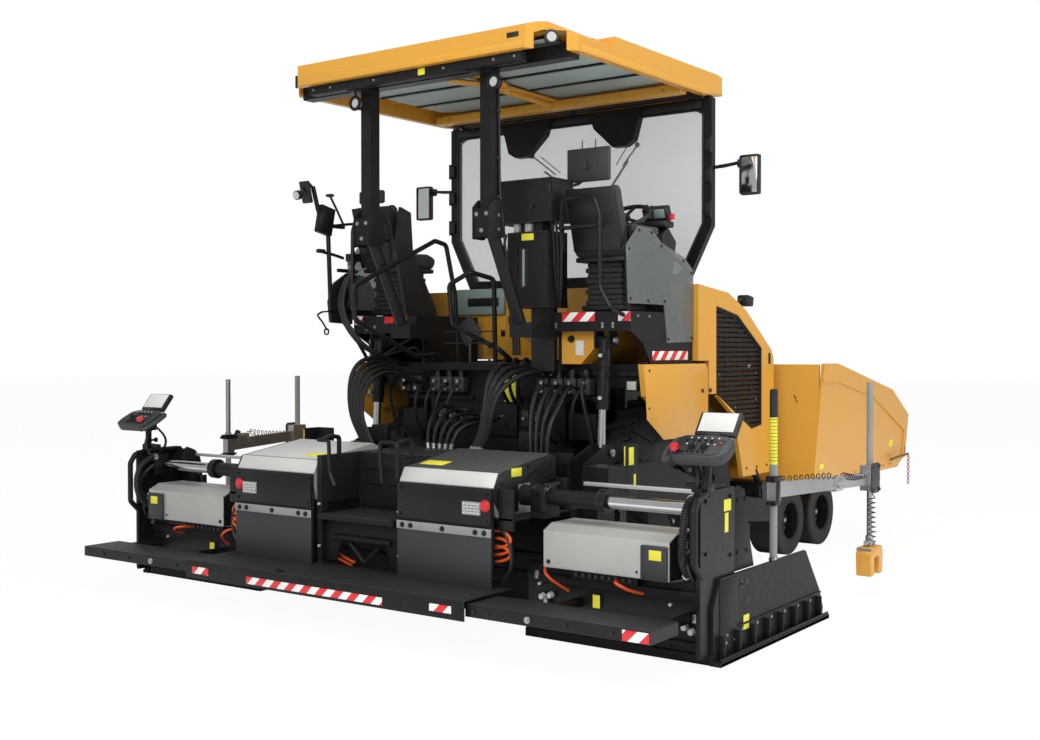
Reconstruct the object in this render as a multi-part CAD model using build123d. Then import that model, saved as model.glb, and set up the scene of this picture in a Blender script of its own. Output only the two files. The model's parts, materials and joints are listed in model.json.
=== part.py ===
from build123d import *
import os
from math import hypot

# A wheeled asphalt paver with an extending screed, drawn in millimetres. X runs forward, Y to
# the machine's left and Z up from the ground. Lengths along X are measured from the drawing's
# own cross line, and MID_X moves the finished pieces so that the origin is the bottom centre
# of the whole machine. A value that ends in Y is a distance from the middle of the machine,
# and shapes are drawn on the right side, where Y is negative.

os.makedirs("parts", exist_ok=True)

FIT = 0.3                   # clearance of a bearing, seat or sliding face

# Ends of the machine
WALK_REAR_X = -3003.0       # rear edge of the centre walkway
ROLLER_X = 3268.0           # push roller axis
ROLLER_R = 75.0
MID_X = (WALK_REAR_X + ROLLER_X + ROLLER_R) / 2

# Chassis
BODY_Y = 1270.0             # outside of the side panels
PANEL_T = 35.0
FRAME_Y = 680.0             # outer face of the chassis side plates
FRAME_T = 40.0
FRAME_REAR_X = -1200.0
FRAME_FRONT_X = 3000.0
FRAME_LOW_Z = 330.0
FRAME_TOP_Z = 1000.0
HOPPER_X = 950.0            # front of the tractor, where the hopper starts
CROSS_XS = (-1150.0, -100.0, 1480.0, 2900.0)
CROSS_W = 100.0
CROSS_H = 90.0
TAIL_X = -1400.0            # middle of the auger beam
TAIL_W = 80.0
TAIL_LOW_Z = 620.0
TAIL_TOP_Z = 700.0

# Wheels
DRIVE_X = -460.0
DRIVE_R = 673.0
DRIVE_IN_Y = 770.0
DRIVE_W = 445.0
DRIVE_RIM_R = 330.0
DRIVE_HUB_R = 170.0
STUB_R = 150.0
ROAD_R = 280.0
ROAD_REAR_X = 1200.0        # rear axle of the steered wheels
ROAD_STEP = 2 * ROAD_R + 100.0
ROAD_XS = (ROAD_REAR_X, ROAD_REAR_X + ROAD_STEP)
ROAD_W = 254.0
ROAD_IN_Y = 985.0
ROAD_RIM_R = 165.0
ROAD_HUB_R = 60.0
KINGPIN_Y = 900.0
KINGPIN_R = 36.0
AXLE_R = 45.0
BOGIE_X = ROAD_REAR_X + ROAD_STEP / 2
BOGIE_Z = 380.0
BOGIE_IN_Y = 710.0
BOGIE_T = 60.0
BOGIE_PIN_R = 45.0
TUNNEL_Z = 2 * ROAD_R + 30.0   # top of the side plates under the hopper

# Tow point and tow arms
TOW_X = 560.0
TOW_Z = 440.0
TOW_PIN_R = 45.0
ARM_Y = 1310.0              # inner face of the tow arms
ARM_T = 90.0

# Engine cowl
COWL_REAR_X = -485.0
COWL_FRONT_X = 790.0
COWL_T = 22.0
LID_Y = 1100.0              # half of the engine hood's width
HOOD_X = 7.0                # hinge of the engine hood
HOOD_Z = 2104.0
BARREL_R = 12.0
LEAF_Y = 640.0
LEAF_W = 60.0

# Platform: an aisle in the middle and a raised station on each side
HOUSE_LOW_Z = 2 * DRIVE_R + 74.0    # underside above the drive wheels
AISLE_Z = HOUSE_LOW_Z + 160.0
AISLE_T = 50.0
AISLE_REAR_X = -1250.0
STATION_Z = AISLE_Z + 350.0
STATION_T = 60.0
STATION_IN_Y = 600.0
STATION_OUT_Y = 1225.0
STATION_REAR_X = -1340.0
STATION_FRONT_X = -600.0
HOUSE_REAR_X = -1130.0      # rear wall of the housing below the aisle
SHEET_T = 20.0

# Operator's place
SEAT_IN_Y = 740.0
SEAT_OUT_Y = 1190.0
CUSHION_Z = STATION_Z + 360.0
CUSHION_T = 110.0
WHEEL_X = -820.0            # steering wheel
WHEEL_Y = 860.0
WHEEL_Z = STATION_Z + 670.0
WHEEL_R = 185.0
GRIP_R = 15.0
HUB_R = 45.0
HUB_T = 30.0

# Windscreen
SCREEN_X = -140.0
SCREEN_T = 60.0
SCREEN_Y = 1210.0
SCREEN_LOW_Z = 2095.0
SCREEN_KNEE_Z = 2578.0
SCREEN_TOP_Z = 3510.0
SCREEN_BAR = 70.0
GLASS_T = 6.0
MIRROR_Y = 1510.0

# Canopy
ROOF_REAR_X = -2170.0
ROOF_FRONT_X = 16.0
ROOF_Y = 1200.0
ROOF_LOW_Z = 3505.0
ROOF_T = 40.0
POST_X = -1921.0
POST_Y = 518.0
POST_W = 90.0
POST_Z = 2500.0
BEAM_Z = 3470.0

# Hopper
HINGE_Y = 735.0             # wing hinge
HINGE_Z = TUNNEL_Z + 22.0
HINGE_R = 14.0
WALL_Y = 1500.0             # foot of the wing's outer wall
WALL_T = 15.0
WALL_LEAN = 4.7
WALL_REAR_X = 1000.0
WALL_FRONT_X = 3140.0
WALL_TOP_Z = 1570.0
FLOOR_Z = TUNNEL_Z + 10.0
FLOOR_T = 15.0
RAM_X = 2500.0              # wing cylinder
RAM_LOW_Y = 740.0
RAM_LOW_Z = 372.0
RAM_TOP_Y = 1300.0
RAM_TOP_Z = FLOOR_Z - 40.0
RAM_R = 32.0
RAM_ROD_R = 20.0

# Conveyors and augers
BELT_IN_Y = 30.0
BELT_OUT_Y = 610.0
BELT_REAR_X = -1180.0
BELT_FRONT_X = 2850.0
BELT_Z = 490.0
BELT_R = 50.0
SLAT_PITCH = 200.0
SLAT_W = 40.0
SLAT_END = 30.0             # from the belt's rear axis to its first crossbar
AUGER_Z = 330.0
AUGER_R = 180.0
AUGER_SHAFT_R = 45.0
AUGER_IN_Y = 54.0
AUGER_OUT_Y = 1190.0
AUGER_TURNS = 3.6

# Push rollers
PUSH_X = 3070.0
PUSH_T = 120.0
PUSH_Y = 760.0
PUSH_Z = 440.0
ROLLER_PIN_R = 25.0

# Screed
SCREED_REAR_X = -2010.0
SCREED_FRONT_X = -1640.0
SCREED_Y = 1199.7
DECK_Z = 700.0
DECK_T = 12.0
NICHE_Y = 320.0             # half of the width between the step's side plates
NICHE_T = 40.0
STEP_TOP_Z = 1000.0
GUIDE_X = -2330.0           # extender guide tubes
GUIDE_Z = 820.0
GUIDE_R = 38.0
STAGE_R = 48.0              # middle stage of the telescoping guide
STAGE_IN_Y = 700.0
STAGE_END_Y = 1669.0
SLEEVE_R = 62.0
SLEEVE_END_Y = 1285.0
GUIDE_IN_Y = 1250.0
GUIDE_BOSS = 80.0           # length of the boss that holds the guide tube at the end plate
LIFT_Y = 1000.0             # lift cylinders
LIFT_TOP_X = -1290.0
LIFT_TOP_Z = STATION_Z - 190.0
LIFT_LOW_X = -1340.0
LIFT_LOW_Z = 1000.0
LIFT_R = 45.0
LIFT_ROD_R = 28.0
LIFT_STROKE = 270.0
HOOD_IN_Y = 363.0
HOOD_OUT_Y = 1079.0
FLAP_X = -2640.0
FLAP_T = 12.0

# Extenders
EXT_REAR_X = -2386.0
EXT_FRONT_X = -2040.0
EXT_IN_Y = 1130.0
END_Y = 2334.0              # outer face of the extender's end plate
COVER_IN_Y = 1352.0
COVER_OUT_Y = 2160.0
STEP_Z = 216.0              # underside of the extender walkways
STEP_T = 65.0
GATE_T = 20.0
SKI_T = 25.0
SKI_REAR_X = -2394.0
SKI_FRONT_X = -893.0
SKI_OUT_Y = 2400.0

# Averaging beams
BEAM_Y = 2344.0
POLE_X = -1610.0
POLE_R = 19.0
POLE_TOP_Z = 1440.0


def block(x0, x1, y0, y1, z0, z1):
    """A box between two corners."""
    size = Box(abs(x1 - x0), abs(y1 - y0), abs(z1 - z0))
    return Pos((x0 + x1) / 2, (y0 + y1) / 2, (z0 + z1) / 2) * size


def side_plate(points, y0, y1):
    """A flat outline in X and Z, given its thickness along Y."""
    low, high = min(y0, y1), max(y0, y1)
    line = Polyline(*[(x, low, z) for x, z in points], close=True)
    return extrude(make_face(line), amount=high - low, dir=(0, 1, 0))


def cross_plate(points, x0, x1):
    """A flat outline in Y and Z, given its thickness along X."""
    line = Polyline(*[(x0, y, z) for y, z in points], close=True)
    return extrude(make_face(line), amount=x1 - x0, dir=(1, 0, 0))


def flat_plate(points, z0, z1):
    """A flat outline in X and Y, given its thickness along Z."""
    line = Polyline(*[(x, y, z0) for x, y in points], close=True)
    return extrude(make_face(line), amount=z1 - z0, dir=(0, 0, 1))


def rod(a, b, radius):
    """A round bar from point a to point b."""
    start, end = Vector(*a), Vector(*b)
    way = end - start
    bar = Cylinder(radius, way.length, align=(Align.CENTER, Align.CENTER, Align.MIN))
    return Plane(origin=start, z_dir=way.normalized()) * bar


def across(x, z, y0, y1, radius):
    """A round bar along Y."""
    return rod((x, y0, z), (x, y1, z), radius)


def bent_tube(points, radius, bend):
    """A round tube through the points, with rounded corners."""
    start = Vector(*points[0])
    way = Vector(*points[1]) - start
    path = FilletPolyline(*points, radius=bend)
    return sweep(Plane(origin=start, z_dir=way.normalized()) * Circle(radius), path=path)


def other_side(shape):
    """The same shape on the other side of the machine."""
    return mirror(shape, about=Plane.XZ)


def both(shape):
    """The shape on both sides."""
    return shape + other_side(shape)


def keep(name, shape):
    """Writes one piece, moved to the origin."""
    moved = shape.moved(Location((-MID_X, 0, 0)))
    export_step(moved, "parts/" + name + ".step")
    print(name, round(moved.volume / 1e6, 2), "litres")


def keep_pair(name, right_shape):
    """Writes a piece of the right side and its twin on the left."""
    keep(name + "_right", right_shape)
    keep(name + "_left", other_side(right_shape))


# Chassis: side plates, cross members and tunnel roof.
frame_line = [(FRAME_REAR_X, FRAME_LOW_Z), (FRAME_FRONT_X, FRAME_LOW_Z), (FRAME_FRONT_X, TUNNEL_Z),
              (HOPPER_X, TUNNEL_Z), (HOPPER_X, FRAME_TOP_Z), (FRAME_REAR_X, FRAME_TOP_Z)]
chassis = both(side_plate(frame_line, -FRAME_Y, -FRAME_Y + FRAME_T))
for cross_x in CROSS_XS:
    chassis += block(cross_x, cross_x + CROSS_W, -FRAME_Y, FRAME_Y, FRAME_LOW_Z, FRAME_LOW_Z + CROSS_H)
chassis += block(FRAME_REAR_X, HOPPER_X, -FRAME_Y, FRAME_Y, FRAME_TOP_Z - FRAME_T, FRAME_TOP_Z)

# Chassis: stubs of the drive axle, pins of the bogies and the towers of the tow points.
STUB_END_Y = DRIVE_IN_Y - 10.0 - FIT
axle_stub = across(DRIVE_X, DRIVE_R, -FRAME_Y, -STUB_END_Y, STUB_R)
bogie_pin = across(BOGIE_X, BOGIE_Z, -FRAME_Y, -BOGIE_IN_Y - BOGIE_T, BOGIE_PIN_R)
TOWER_Y = ARM_Y - 130.0
TOW_BEAM_Z = 560.0
tow_beam = block(TOW_X - 90, TOW_X + 90, -TOWER_Y - 60, -FRAME_Y, TOW_BEAM_Z, TOW_BEAM_Z + 100)
tow_tower = block(TOW_X - 60, TOW_X + 60, -ARM_Y + FIT, -TOWER_Y, TOW_Z - 70, TOW_BEAM_Z + 100)
tow_pin = across(TOW_X, TOW_Z, -ARM_Y + 1, -ARM_Y - ARM_T - 20, TOW_PIN_R)
chassis += both(axle_stub + bogie_pin + tow_beam + tow_tower + tow_pin)

# Chassis: lugs of the apron and of the wing cylinders.
APRON_Y = 700.0
APRON_X = 3016.0
APRON_Z = FLOOR_Z + 20.0
APRON_R = 14.0
LUG_T = 12.0
apron_lug = block(APRON_X - 24, APRON_X + 20, -APRON_Y - LUG_T, -APRON_Y - FIT, APRON_Z - 60, APRON_Z + 20)
apron_lug += block(APRON_X - 24, FRAME_FRONT_X, -APRON_Y - LUG_T, -FRAME_Y, APRON_Z - 60, TUNNEL_Z - 1)
RAM_HALF = RAM_R + 0.7
wing_lug = block(RAM_X - 45, RAM_X + 45, -RAM_LOW_Y - 20, -FRAME_Y, FRAME_LOW_Z, FRAME_LOW_Z + 8)
for lug_x in (RAM_X - RAM_HALF - LUG_T - FIT, RAM_X + RAM_HALF + FIT):
    wing_lug += block(lug_x, lug_x + LUG_T, -RAM_LOW_Y - 35, -FRAME_Y, FRAME_LOW_Z, FRAME_LOW_Z + 70)
chassis += both(apron_lug + wing_lug)

# Chassis: auger beam with its middle gear case and outer hangers, and the push beam's post.
tail_arm = block(TAIL_X - TAIL_W / 2, FRAME_REAR_X, -FRAME_Y, -FRAME_Y + FRAME_T, TAIL_LOW_Z, TAIL_TOP_Z)
tail_beam = block(TAIL_X - TAIL_W / 2, TAIL_X + TAIL_W / 2, -AUGER_OUT_Y - 15, 0, TAIL_LOW_Z, TAIL_TOP_Z)
hanger = block(TAIL_X - TAIL_W / 2, TAIL_X + TAIL_W / 2, -AUGER_OUT_Y - 15, -AUGER_OUT_Y,
               AUGER_Z - 70, TAIL_TOP_Z)
chassis += both(tail_arm + tail_beam + hanger)
chassis += block(TAIL_X - TAIL_W / 2, TAIL_X + TAIL_W / 2, -AUGER_IN_Y, AUGER_IN_Y, AUGER_Z - 90, TAIL_TOP_Z)
chassis += block(FRAME_FRONT_X, PUSH_X - FIT, -200, 200, PUSH_Z - 60, PUSH_Z + 60)
keep("chassis_frame", chassis)

# Engine as one block on the tunnel roof.
keep("engine_block", block(-60, 700, -420, 420, FRAME_TOP_Z, 1580))

# Engine cowl: a yellow shell, open below, with a louvred opening in each side.
COWL_LOW_Z = AISLE_Z - 220.0
ROOF_CURVE = [(-10, 2095), (290, 1975), (750, 1675), (COWL_FRONT_X, 1600)]
cowl_line = [(COWL_REAR_X, 2140)] + ROOF_CURVE + [
    (COWL_FRONT_X, 720), (245, 720), (130, 1070), (90, 1190), (-200, COWL_LOW_Z), (-320, COWL_LOW_Z),
    (-320, AISLE_Z + 20), (COWL_REAR_X, AISLE_Z + 20)]
cowl_inner = [(COWL_REAR_X + COWL_T, 2115), (-15, 2072), (275, 1955), (735, 1655), (768, 1590), (768, 700),
              (200, 700), (90, 1070), (50, 1180), (-220, COWL_LOW_Z - 30), (-345, COWL_LOW_Z - 30),
              (-345, AISLE_Z - 10), (COWL_REAR_X + COWL_T, AISLE_Z - 10)]
louvre_line = [(-208, 1996), (153, 1934), (566, 1691), (570, 1097), (391, 1073), (-204, COWL_LOW_Z)]
cowl = side_plate(cowl_line, -BODY_Y, BODY_Y)
cowl -= side_plate(cowl_inner, -BODY_Y + PANEL_T, BODY_Y - PANEL_T)
cowl -= both(side_plate(louvre_line, -BODY_Y - 5, -BODY_Y + PANEL_T + 5))
cowl -= block(COWL_FRONT_X - 30, COWL_FRONT_X + 10, -FRAME_Y - FIT, FRAME_Y + FIT, 700, FRAME_TOP_Z)
lid_gap = side_plate([(4, 2200), (4, 1900), (700, 1500), (758, 1740), (758, 2200)], -LID_Y - 6, LID_Y + 6)
cowl -= lid_gap
cowl += both(block(700, 740, -LID_Y - 80, -LID_Y - 20, 1640, 1700) & side_plate(cowl_line, -BODY_Y, BODY_Y))

# Engine cowl: hinge barrels of the hood, and the yellow tank below the right station.
for barrel_y in (LEAF_Y, LEAF_Y + 2 * LEAF_W):
    barrel = across(HOOD_X, HOOD_Z, barrel_y + FIT, barrel_y + LEAF_W - FIT, BARREL_R)
    barrel += block(HOOD_X - 57, HOOD_X, barrel_y + FIT, barrel_y + LEAF_W - FIT, HOOD_Z - 16, HOOD_Z + 4)
    cowl += both(barrel)
TANK_REAR_X = -1242.0
tank_line = [(-622, STATION_Z - 62), (-905, STATION_Z - 62), (-905, AISLE_Z + 130), (-780, AISLE_Z + FIT),
             (-622, AISLE_Z + FIT)]
cowl += cross_plate(tank_line, TANK_REAR_X, COWL_REAR_X + 5)
keep("engine_cowl", cowl)

# Engine hood: the lid between the cowl's sides, hinged at its rear edge.
shell = side_plate(cowl_line, -LID_Y, LID_Y) - side_plate(cowl_inner, -LID_Y - 1, LID_Y + 1)
hood_lid = shell & side_plate([(10, 2200), (10, 1900), (700, 1500), (752, 1740), (752, 2200)], -LID_Y, LID_Y)
mid_barrel = across(HOOD_X, HOOD_Z, LEAF_Y + LEAF_W, LEAF_Y + 2 * LEAF_W, BARREL_R)
mid_barrel += block(HOOD_X, HOOD_X + 53, LEAF_Y + LEAF_W, LEAF_Y + 2 * LEAF_W, HOOD_Z - 24, HOOD_Z + 4)
hood_lid += both(mid_barrel)
keep("engine_hood", hood_lid)

# Side grilles: black louvres that fill the cowl's side openings.
LOUVRE_PITCH = 36.0
LOUVRE_H = 24.0
grille = side_plate(louvre_line, -BODY_Y + 8, -BODY_Y + PANEL_T)
inner_line = [(-178, 1962), (141, 1906), (538, 1674), (541, 1121), (397, 1104), (-174, COWL_LOW_Z + 20)]
grille -= side_plate(inner_line, -BODY_Y, -BODY_Y + PANEL_T + 5)
louvre_zone = side_plate(louvre_line, -BODY_Y + 12, -BODY_Y + PANEL_T - 5)
for row in range(24):
    slat_z = 1090 + row * LOUVRE_PITCH
    slat = block(-230, 600, -BODY_Y + 12, -BODY_Y + 20, slat_z, slat_z + LOUVRE_H)
    grille += slat & louvre_zone
for bar_x in (-20, 190, 400):
    grille += block(bar_x, bar_x + 14, -BODY_Y + 16, -BODY_Y + PANEL_T - 5, 1000, 2000) & louvre_zone
keep("side_grilles", both(grille))

# Side hatches below the stations, with a hinge strip inside.
HATCH_LOW_Z = AISLE_Z - 360.0
hatch_line = [(-367, AISLE_Z - 7), (-334, AISLE_Z - 40), (-332, HATCH_LOW_Z), (-987, HATCH_LOW_Z),
              (-1223, HATCH_LOW_Z + 150), (-1263, AISLE_Z + 2)]
hatch = side_plate(hatch_line, -BODY_Y, -BODY_Y + PANEL_T)
hatch += block(-1130, -400, -BODY_Y + PANEL_T, -STATION_OUT_Y, AISLE_Z - 140, AISLE_Z - 20)
keep("side_hatches", both(hatch))

# Platform: aisle floor, raised stations with their side walls, and the housing below.
WALL_BACK_X = COWL_REAR_X - 1.0
aisle_y = STATION_IN_Y + SHEET_T
platform = block(AISLE_REAR_X, WALL_BACK_X, -aisle_y, aisle_y, AISLE_Z - AISLE_T, AISLE_Z)
platform += block(HOUSE_REAR_X, WALL_BACK_X, -FRAME_Y + 80, FRAME_Y - 80, FRAME_TOP_Z, AISLE_Z - AISLE_T)
platform += block(HOUSE_REAR_X, WALL_BACK_X, -STATION_OUT_Y, STATION_OUT_Y, HOUSE_LOW_Z, AISLE_Z)
STATION_LOW_Z = STATION_Z - STATION_T
station = block(STATION_REAR_X, STATION_FRONT_X, -STATION_OUT_Y, -STATION_IN_Y, STATION_LOW_Z, STATION_Z)
station += block(AISLE_REAR_X, STATION_FRONT_X, -STATION_IN_Y - SHEET_T, -STATION_IN_Y, AISLE_Z, STATION_Z)
skirt_line = [(-1340, STATION_Z), (-600, STATION_Z), (-600, STATION_Z - 155), (WALL_BACK_X, STATION_Z - 190),
              (WALL_BACK_X, AISLE_Z - 20), (-1058, AISLE_Z - 20), (-1180, STATION_Z - 210),
              (-1340, STATION_Z - 130)]
station += side_plate(skirt_line, -STATION_OUT_Y, -STATION_OUT_Y + SHEET_T)
rear_sheet_x = STATION_REAR_X + SHEET_T
station += block(STATION_REAR_X, rear_sheet_x, -STATION_OUT_Y, -STATION_IN_Y, STATION_Z - 130, STATION_Z)
for lug_y in (LIFT_Y + LIFT_R + 1, LIFT_Y - LIFT_R - 1 - LUG_T):
    station += block(STATION_REAR_X, -1230, -lug_y - LUG_T, -lug_y, LIFT_TOP_Z - 50, STATION_Z - STATION_T)
POST_FOOT_X = -1560.0
POST_FOOT_Z = STATION_Z - 130.0
station += block(POST_FOOT_X - 40, rear_sheet_x, -STATION_IN_Y - SHEET_T, -POST_Y + 78, STATION_Z - 170,
                 STATION_Z - 70)
station += block(STATION_REAR_X, -1240, -STATION_IN_Y - SHEET_T, -STATION_IN_Y, STATION_Z - 170, STATION_Z)
platform += both(station)
keep("platform", platform)

# Seats: cushion, leaning back and a sprung base.
seat = block(-1330, -900, -SEAT_OUT_Y, -SEAT_IN_Y, CUSHION_Z, CUSHION_Z + CUSHION_T)
back_line = [(-1330, CUSHION_Z + 40), (-1230, CUSHION_Z + 40), (-1340, CUSHION_Z + 470),
             (-1430, CUSHION_Z + 460)]
seat += side_plate(back_line, -SEAT_OUT_Y, -SEAT_IN_Y)
seat += block(-1240, -980, -SEAT_OUT_Y + 80, -SEAT_IN_Y - 70, STATION_Z, CUSHION_Z)
seat += block(-1290, -950, -SEAT_OUT_Y - 25, -SEAT_OUT_Y + 5, CUSHION_Z + 160, CUSHION_Z + 210)
seat += block(-1290, -1240, -SEAT_OUT_Y - 25, -SEAT_OUT_Y + 5, CUSHION_Z + 40, CUSHION_Z + 210)
keep("seats", both(seat))

# Dark cabinets behind the right seat, on a stand from the aisle floor.
consoles = block(-1500, -1270, -685, -350, STATION_Z + 30, STATION_Z + 540)
consoles += block(-1520, -1270, -730, -260, STATION_Z + 600, STATION_Z + 890)
consoles += block(-1450, -1300, -600, -400, STATION_Z + 540, STATION_Z + 600)
consoles += block(AISLE_REAR_X - 40, AISLE_REAR_X - FIT, -590, -400, AISLE_Z - AISLE_T,
                  STATION_Z + 470)
consoles += block(AISLE_REAR_X - 40, -1210, -590, -400, AISLE_Z + FIT, AISLE_Z + 30)

# Steering console and the leaning side board of the left seat.
column_line = [(-760, STATION_Z), (-610, STATION_Z), (-500, STATION_Z + 510), (-620, STATION_Z + 610),
               (-700, STATION_Z + 550)]
consoles += side_plate(column_line, -1100, -640)
stem_low = (WHEEL_X + 120, -WHEEL_Y, WHEEL_Z - 207.8)
stem_top = (WHEEL_X + (HUB_T / 2 + FIT) * 0.5, -WHEEL_Y, WHEEL_Z - (HUB_T / 2 + FIT) * 0.866)
consoles += rod(stem_top, stem_low, 25)
board_line = [(-1404, STATION_Z + 796), (-1292, STATION_Z + 762), (-1269, STATION_Z + 475), (-1002,
                                                                                             STATION_Z + 50),
              (-990, STATION_Z), (-1338, STATION_Z), (-1460, STATION_Z + 477)]
consoles += side_plate(board_line, 690, 715)
keep("operator_consoles", consoles)

# Steering wheel, tilted towards the seat.
wheel_plane = Plane(origin=(WHEEL_X, -WHEEL_Y, WHEEL_Z), z_dir=(-0.5, 0, 0.866))
steer = wheel_plane * Torus(WHEEL_R, GRIP_R)
steer += wheel_plane * Cylinder(HUB_R, HUB_T)
for turn in (0, 120, 240):
    spoke = Pos(WHEEL_R / 2, 0, 0) * Box(WHEEL_R, 26, 10)
    steer += wheel_plane * (Rot(0, 0, turn) * spoke)
keep("steering_wheel", steer)

# Windscreen: a dark frame that narrows below its knee, with wiper motor covers and mirrors.
inner_y = SCREEN_Y - SCREEN_BAR
inner_low = SCREEN_LOW_Z + 135
inner_top = SCREEN_TOP_Z - 80
screen_line = [(-SCREEN_Y, SCREEN_KNEE_Z), (-1000, 2150), (-920, SCREEN_LOW_Z), (920, SCREEN_LOW_Z),
               (1000, 2150), (SCREEN_Y, SCREEN_KNEE_Z), (SCREEN_Y, SCREEN_TOP_Z), (-SCREEN_Y, SCREEN_TOP_Z)]


def glass_line(gap):
    """The window's outline, drawn in by a gap."""
    low, top, side, knee = inner_low + gap, inner_top - gap, inner_y - gap, SCREEN_KNEE_Z + 22
    return [(-side, knee), (-950 + gap, low), (950 - gap, low), (side, knee), (side, top - 30),
            (side - 60, top), (-side + 60, top), (-side, top - 30)]


frame = cross_plate(screen_line, SCREEN_X - SCREEN_T / 2, SCREEN_X + SCREEN_T / 2)
frame -= cross_plate(glass_line(0), SCREEN_X - SCREEN_T, SCREEN_X + SCREEN_T)
screen_top = SCREEN_TOP_Z - 10
cover_line = [(650, screen_top), (580, 3255), (510, 3215), (400, 3215), (230, 3370), (180, screen_top)]
frame += both(cross_plate([(-y, z) for y, z in cover_line], SCREEN_X - SCREEN_T / 2 - 50, SCREEN_X - 10))
mirror_arm = rod((SCREEN_X - 10, -SCREEN_Y + 10, 3000), (SCREEN_X - 10, -MIRROR_Y + 50, 3020), 12)
mirror_head = block(SCREEN_X - 35, SCREEN_X + 5, -MIRROR_Y - 70, -MIRROR_Y + 70, 2786, 3063)
hinge_tab = block(SCREEN_X - 25, SCREEN_X + 25, -SCREEN_Y + 15, -SCREEN_Y + 55, screen_top, screen_top + 25)
frame += both(mirror_arm + mirror_head + hinge_tab)
frame -= side_plate(cowl_line, -BODY_Y - 30, BODY_Y + 30)
keep("windscreen_frame", frame)

# Canopy roof: a moulded shell with drooping sides, chamfered rear corners and ribs below.
roof_line = [(ROOF_REAR_X, ROOF_LOW_Z), (ROOF_REAR_X, 3650), (-2110, 3668), (-60, 3690),
             (ROOF_FRONT_X, 3680), (ROOF_FRONT_X, 3545), (-270, 3515), (-1900, ROOF_LOW_Z - 5)]
roof = side_plate(roof_line, -ROOF_Y, ROOF_Y)
slope_line = [(-ROOF_Y - 40, 3900), (-ROOF_Y - 40, 3600), (-ROOF_Y, 3600), (-ROOF_Y + 190, 3700),
              (-ROOF_Y + 190, 3900)]
roof -= both(cross_plate(slope_line, ROOF_REAR_X - 20, -1500))
hollow = [(ROOF_REAR_X + ROOF_T, 3400), (ROOF_REAR_X + ROOF_T, 3600), (-2090, 3618), (-60, 3640),
          (ROOF_FRONT_X - ROOF_T, 3630), (ROOF_FRONT_X - ROOF_T, 3400)]
roof -= side_plate(hollow, -ROOF_Y + ROOF_T + 10, ROOF_Y - ROOF_T - 10)
corner = flat_plate([(-2300, -1300), (-2180, -960), (-1920, -1210), (-1900, -1300)], 3300, 3900)
roof -= both(corner)
RIB_W = 45.0
RIB_H = 30.0
for rib_x in (-1700, -1350, -1000, -650, -300):
    roof += block(rib_x, rib_x + RIB_W, -ROOF_Y + ROOF_T, ROOF_Y - ROOF_T, 3600, 3600 + RIB_H)
keep("canopy_roof", roof)

# Canopy posts, fold brackets and cross beam.
post = block(POST_X - POST_W / 2, POST_X + POST_W / 2, -POST_Y - POST_W / 2, -POST_Y + POST_W / 2,
             POST_Z, BEAM_Z - FIT)
post += rod((POST_X - 19, -POST_Y, POST_Z + 20), (POST_FOOT_X, -POST_Y, POST_FOOT_Z), 42)
post -= block(POST_FOOT_X - 140, POST_FOOT_X + 260, -POST_Y - 182, -POST_Y + 118, STATION_Z - 330,
              STATION_Z - 70)
post += block(POST_X - 89, POST_X + 61, -POST_Y - 62, -POST_Y + 62, POST_Z - 100, POST_Z + 80)
posts = both(post)
beam_y = ROOF_Y - ROOF_T - 10 - FIT
posts += block(POST_X - 19, POST_X + 81, -beam_y, beam_y, BEAM_Z, 3560)
keep("canopy_posts", posts)

# Windscreen glass and the smoked guards beside the stations.
guard_line = [(-1253, STATION_Z + 558), (-1082, STATION_Z + 552), (-946, STATION_Z + 468), (-620,
                                                                                            STATION_Z + 386),
              (-490, STATION_Z + 305), (-490, STATION_Z - 197), (-860, STATION_Z - 206), (-903,
                                                                                          STATION_Z + 51),
              (-1379, STATION_Z + 50), (-1405, STATION_Z + 423)]
glazing = cross_plate(glass_line(FIT), SCREEN_X - GLASS_T / 2, SCREEN_X + GLASS_T / 2)
keep("glazing", glazing + both(side_plate(guard_line, -STATION_OUT_Y - FIT, -STATION_OUT_Y - FIT - GLASS_T)))

# Handrails of the ladder behind the aisle, and the frame of the left station's console.
RAIL_R = 17.0
RAIL_BEND = 45.0
ladder_line = [(-1225, AISLE_Z), (-1290, AISLE_Z + 60), (-1529, AISLE_Z + 53), (-2150, AISLE_Z + 299),
               (-2173, AISLE_Z + 520), (-1304, AISLE_Z + 891), (-1177, AISLE_Z + 871), (-1071, AISLE_Z + 506),
               (-1030, AISLE_Z)]
rails = bent_tube([(x, 450, z) for x, z in ladder_line], RAIL_R, RAIL_BEND)
aisle_line = [(-1225, -40, AISLE_Z), (-1240, -40, AISLE_Z + 600), (-1400, 51, AISLE_Z + 646),
              (-1400, 241, AISLE_Z + 560), (-1400, 232, AISLE_Z + 453), (-1400, 214, AISLE_Z + 274),
              (-1400, -212, AISLE_Z + 96), (-1225, -212, AISLE_Z)]
rails += bent_tube(aisle_line, RAIL_R, RAIL_BEND - 5)
mast_line = [(-1345, STATION_Z - 100), (-1574, STATION_Z + 47), (-1603, STATION_Z + 683), (-1700,
                                                                                           STATION_Z + 770),
             (-1757, STATION_Z + 950)]
rails += bent_tube([(x, 1240, z) for x, z in mast_line], RAIL_R, RAIL_BEND)
rails -= platform
keep("handrails", rails)

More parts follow.
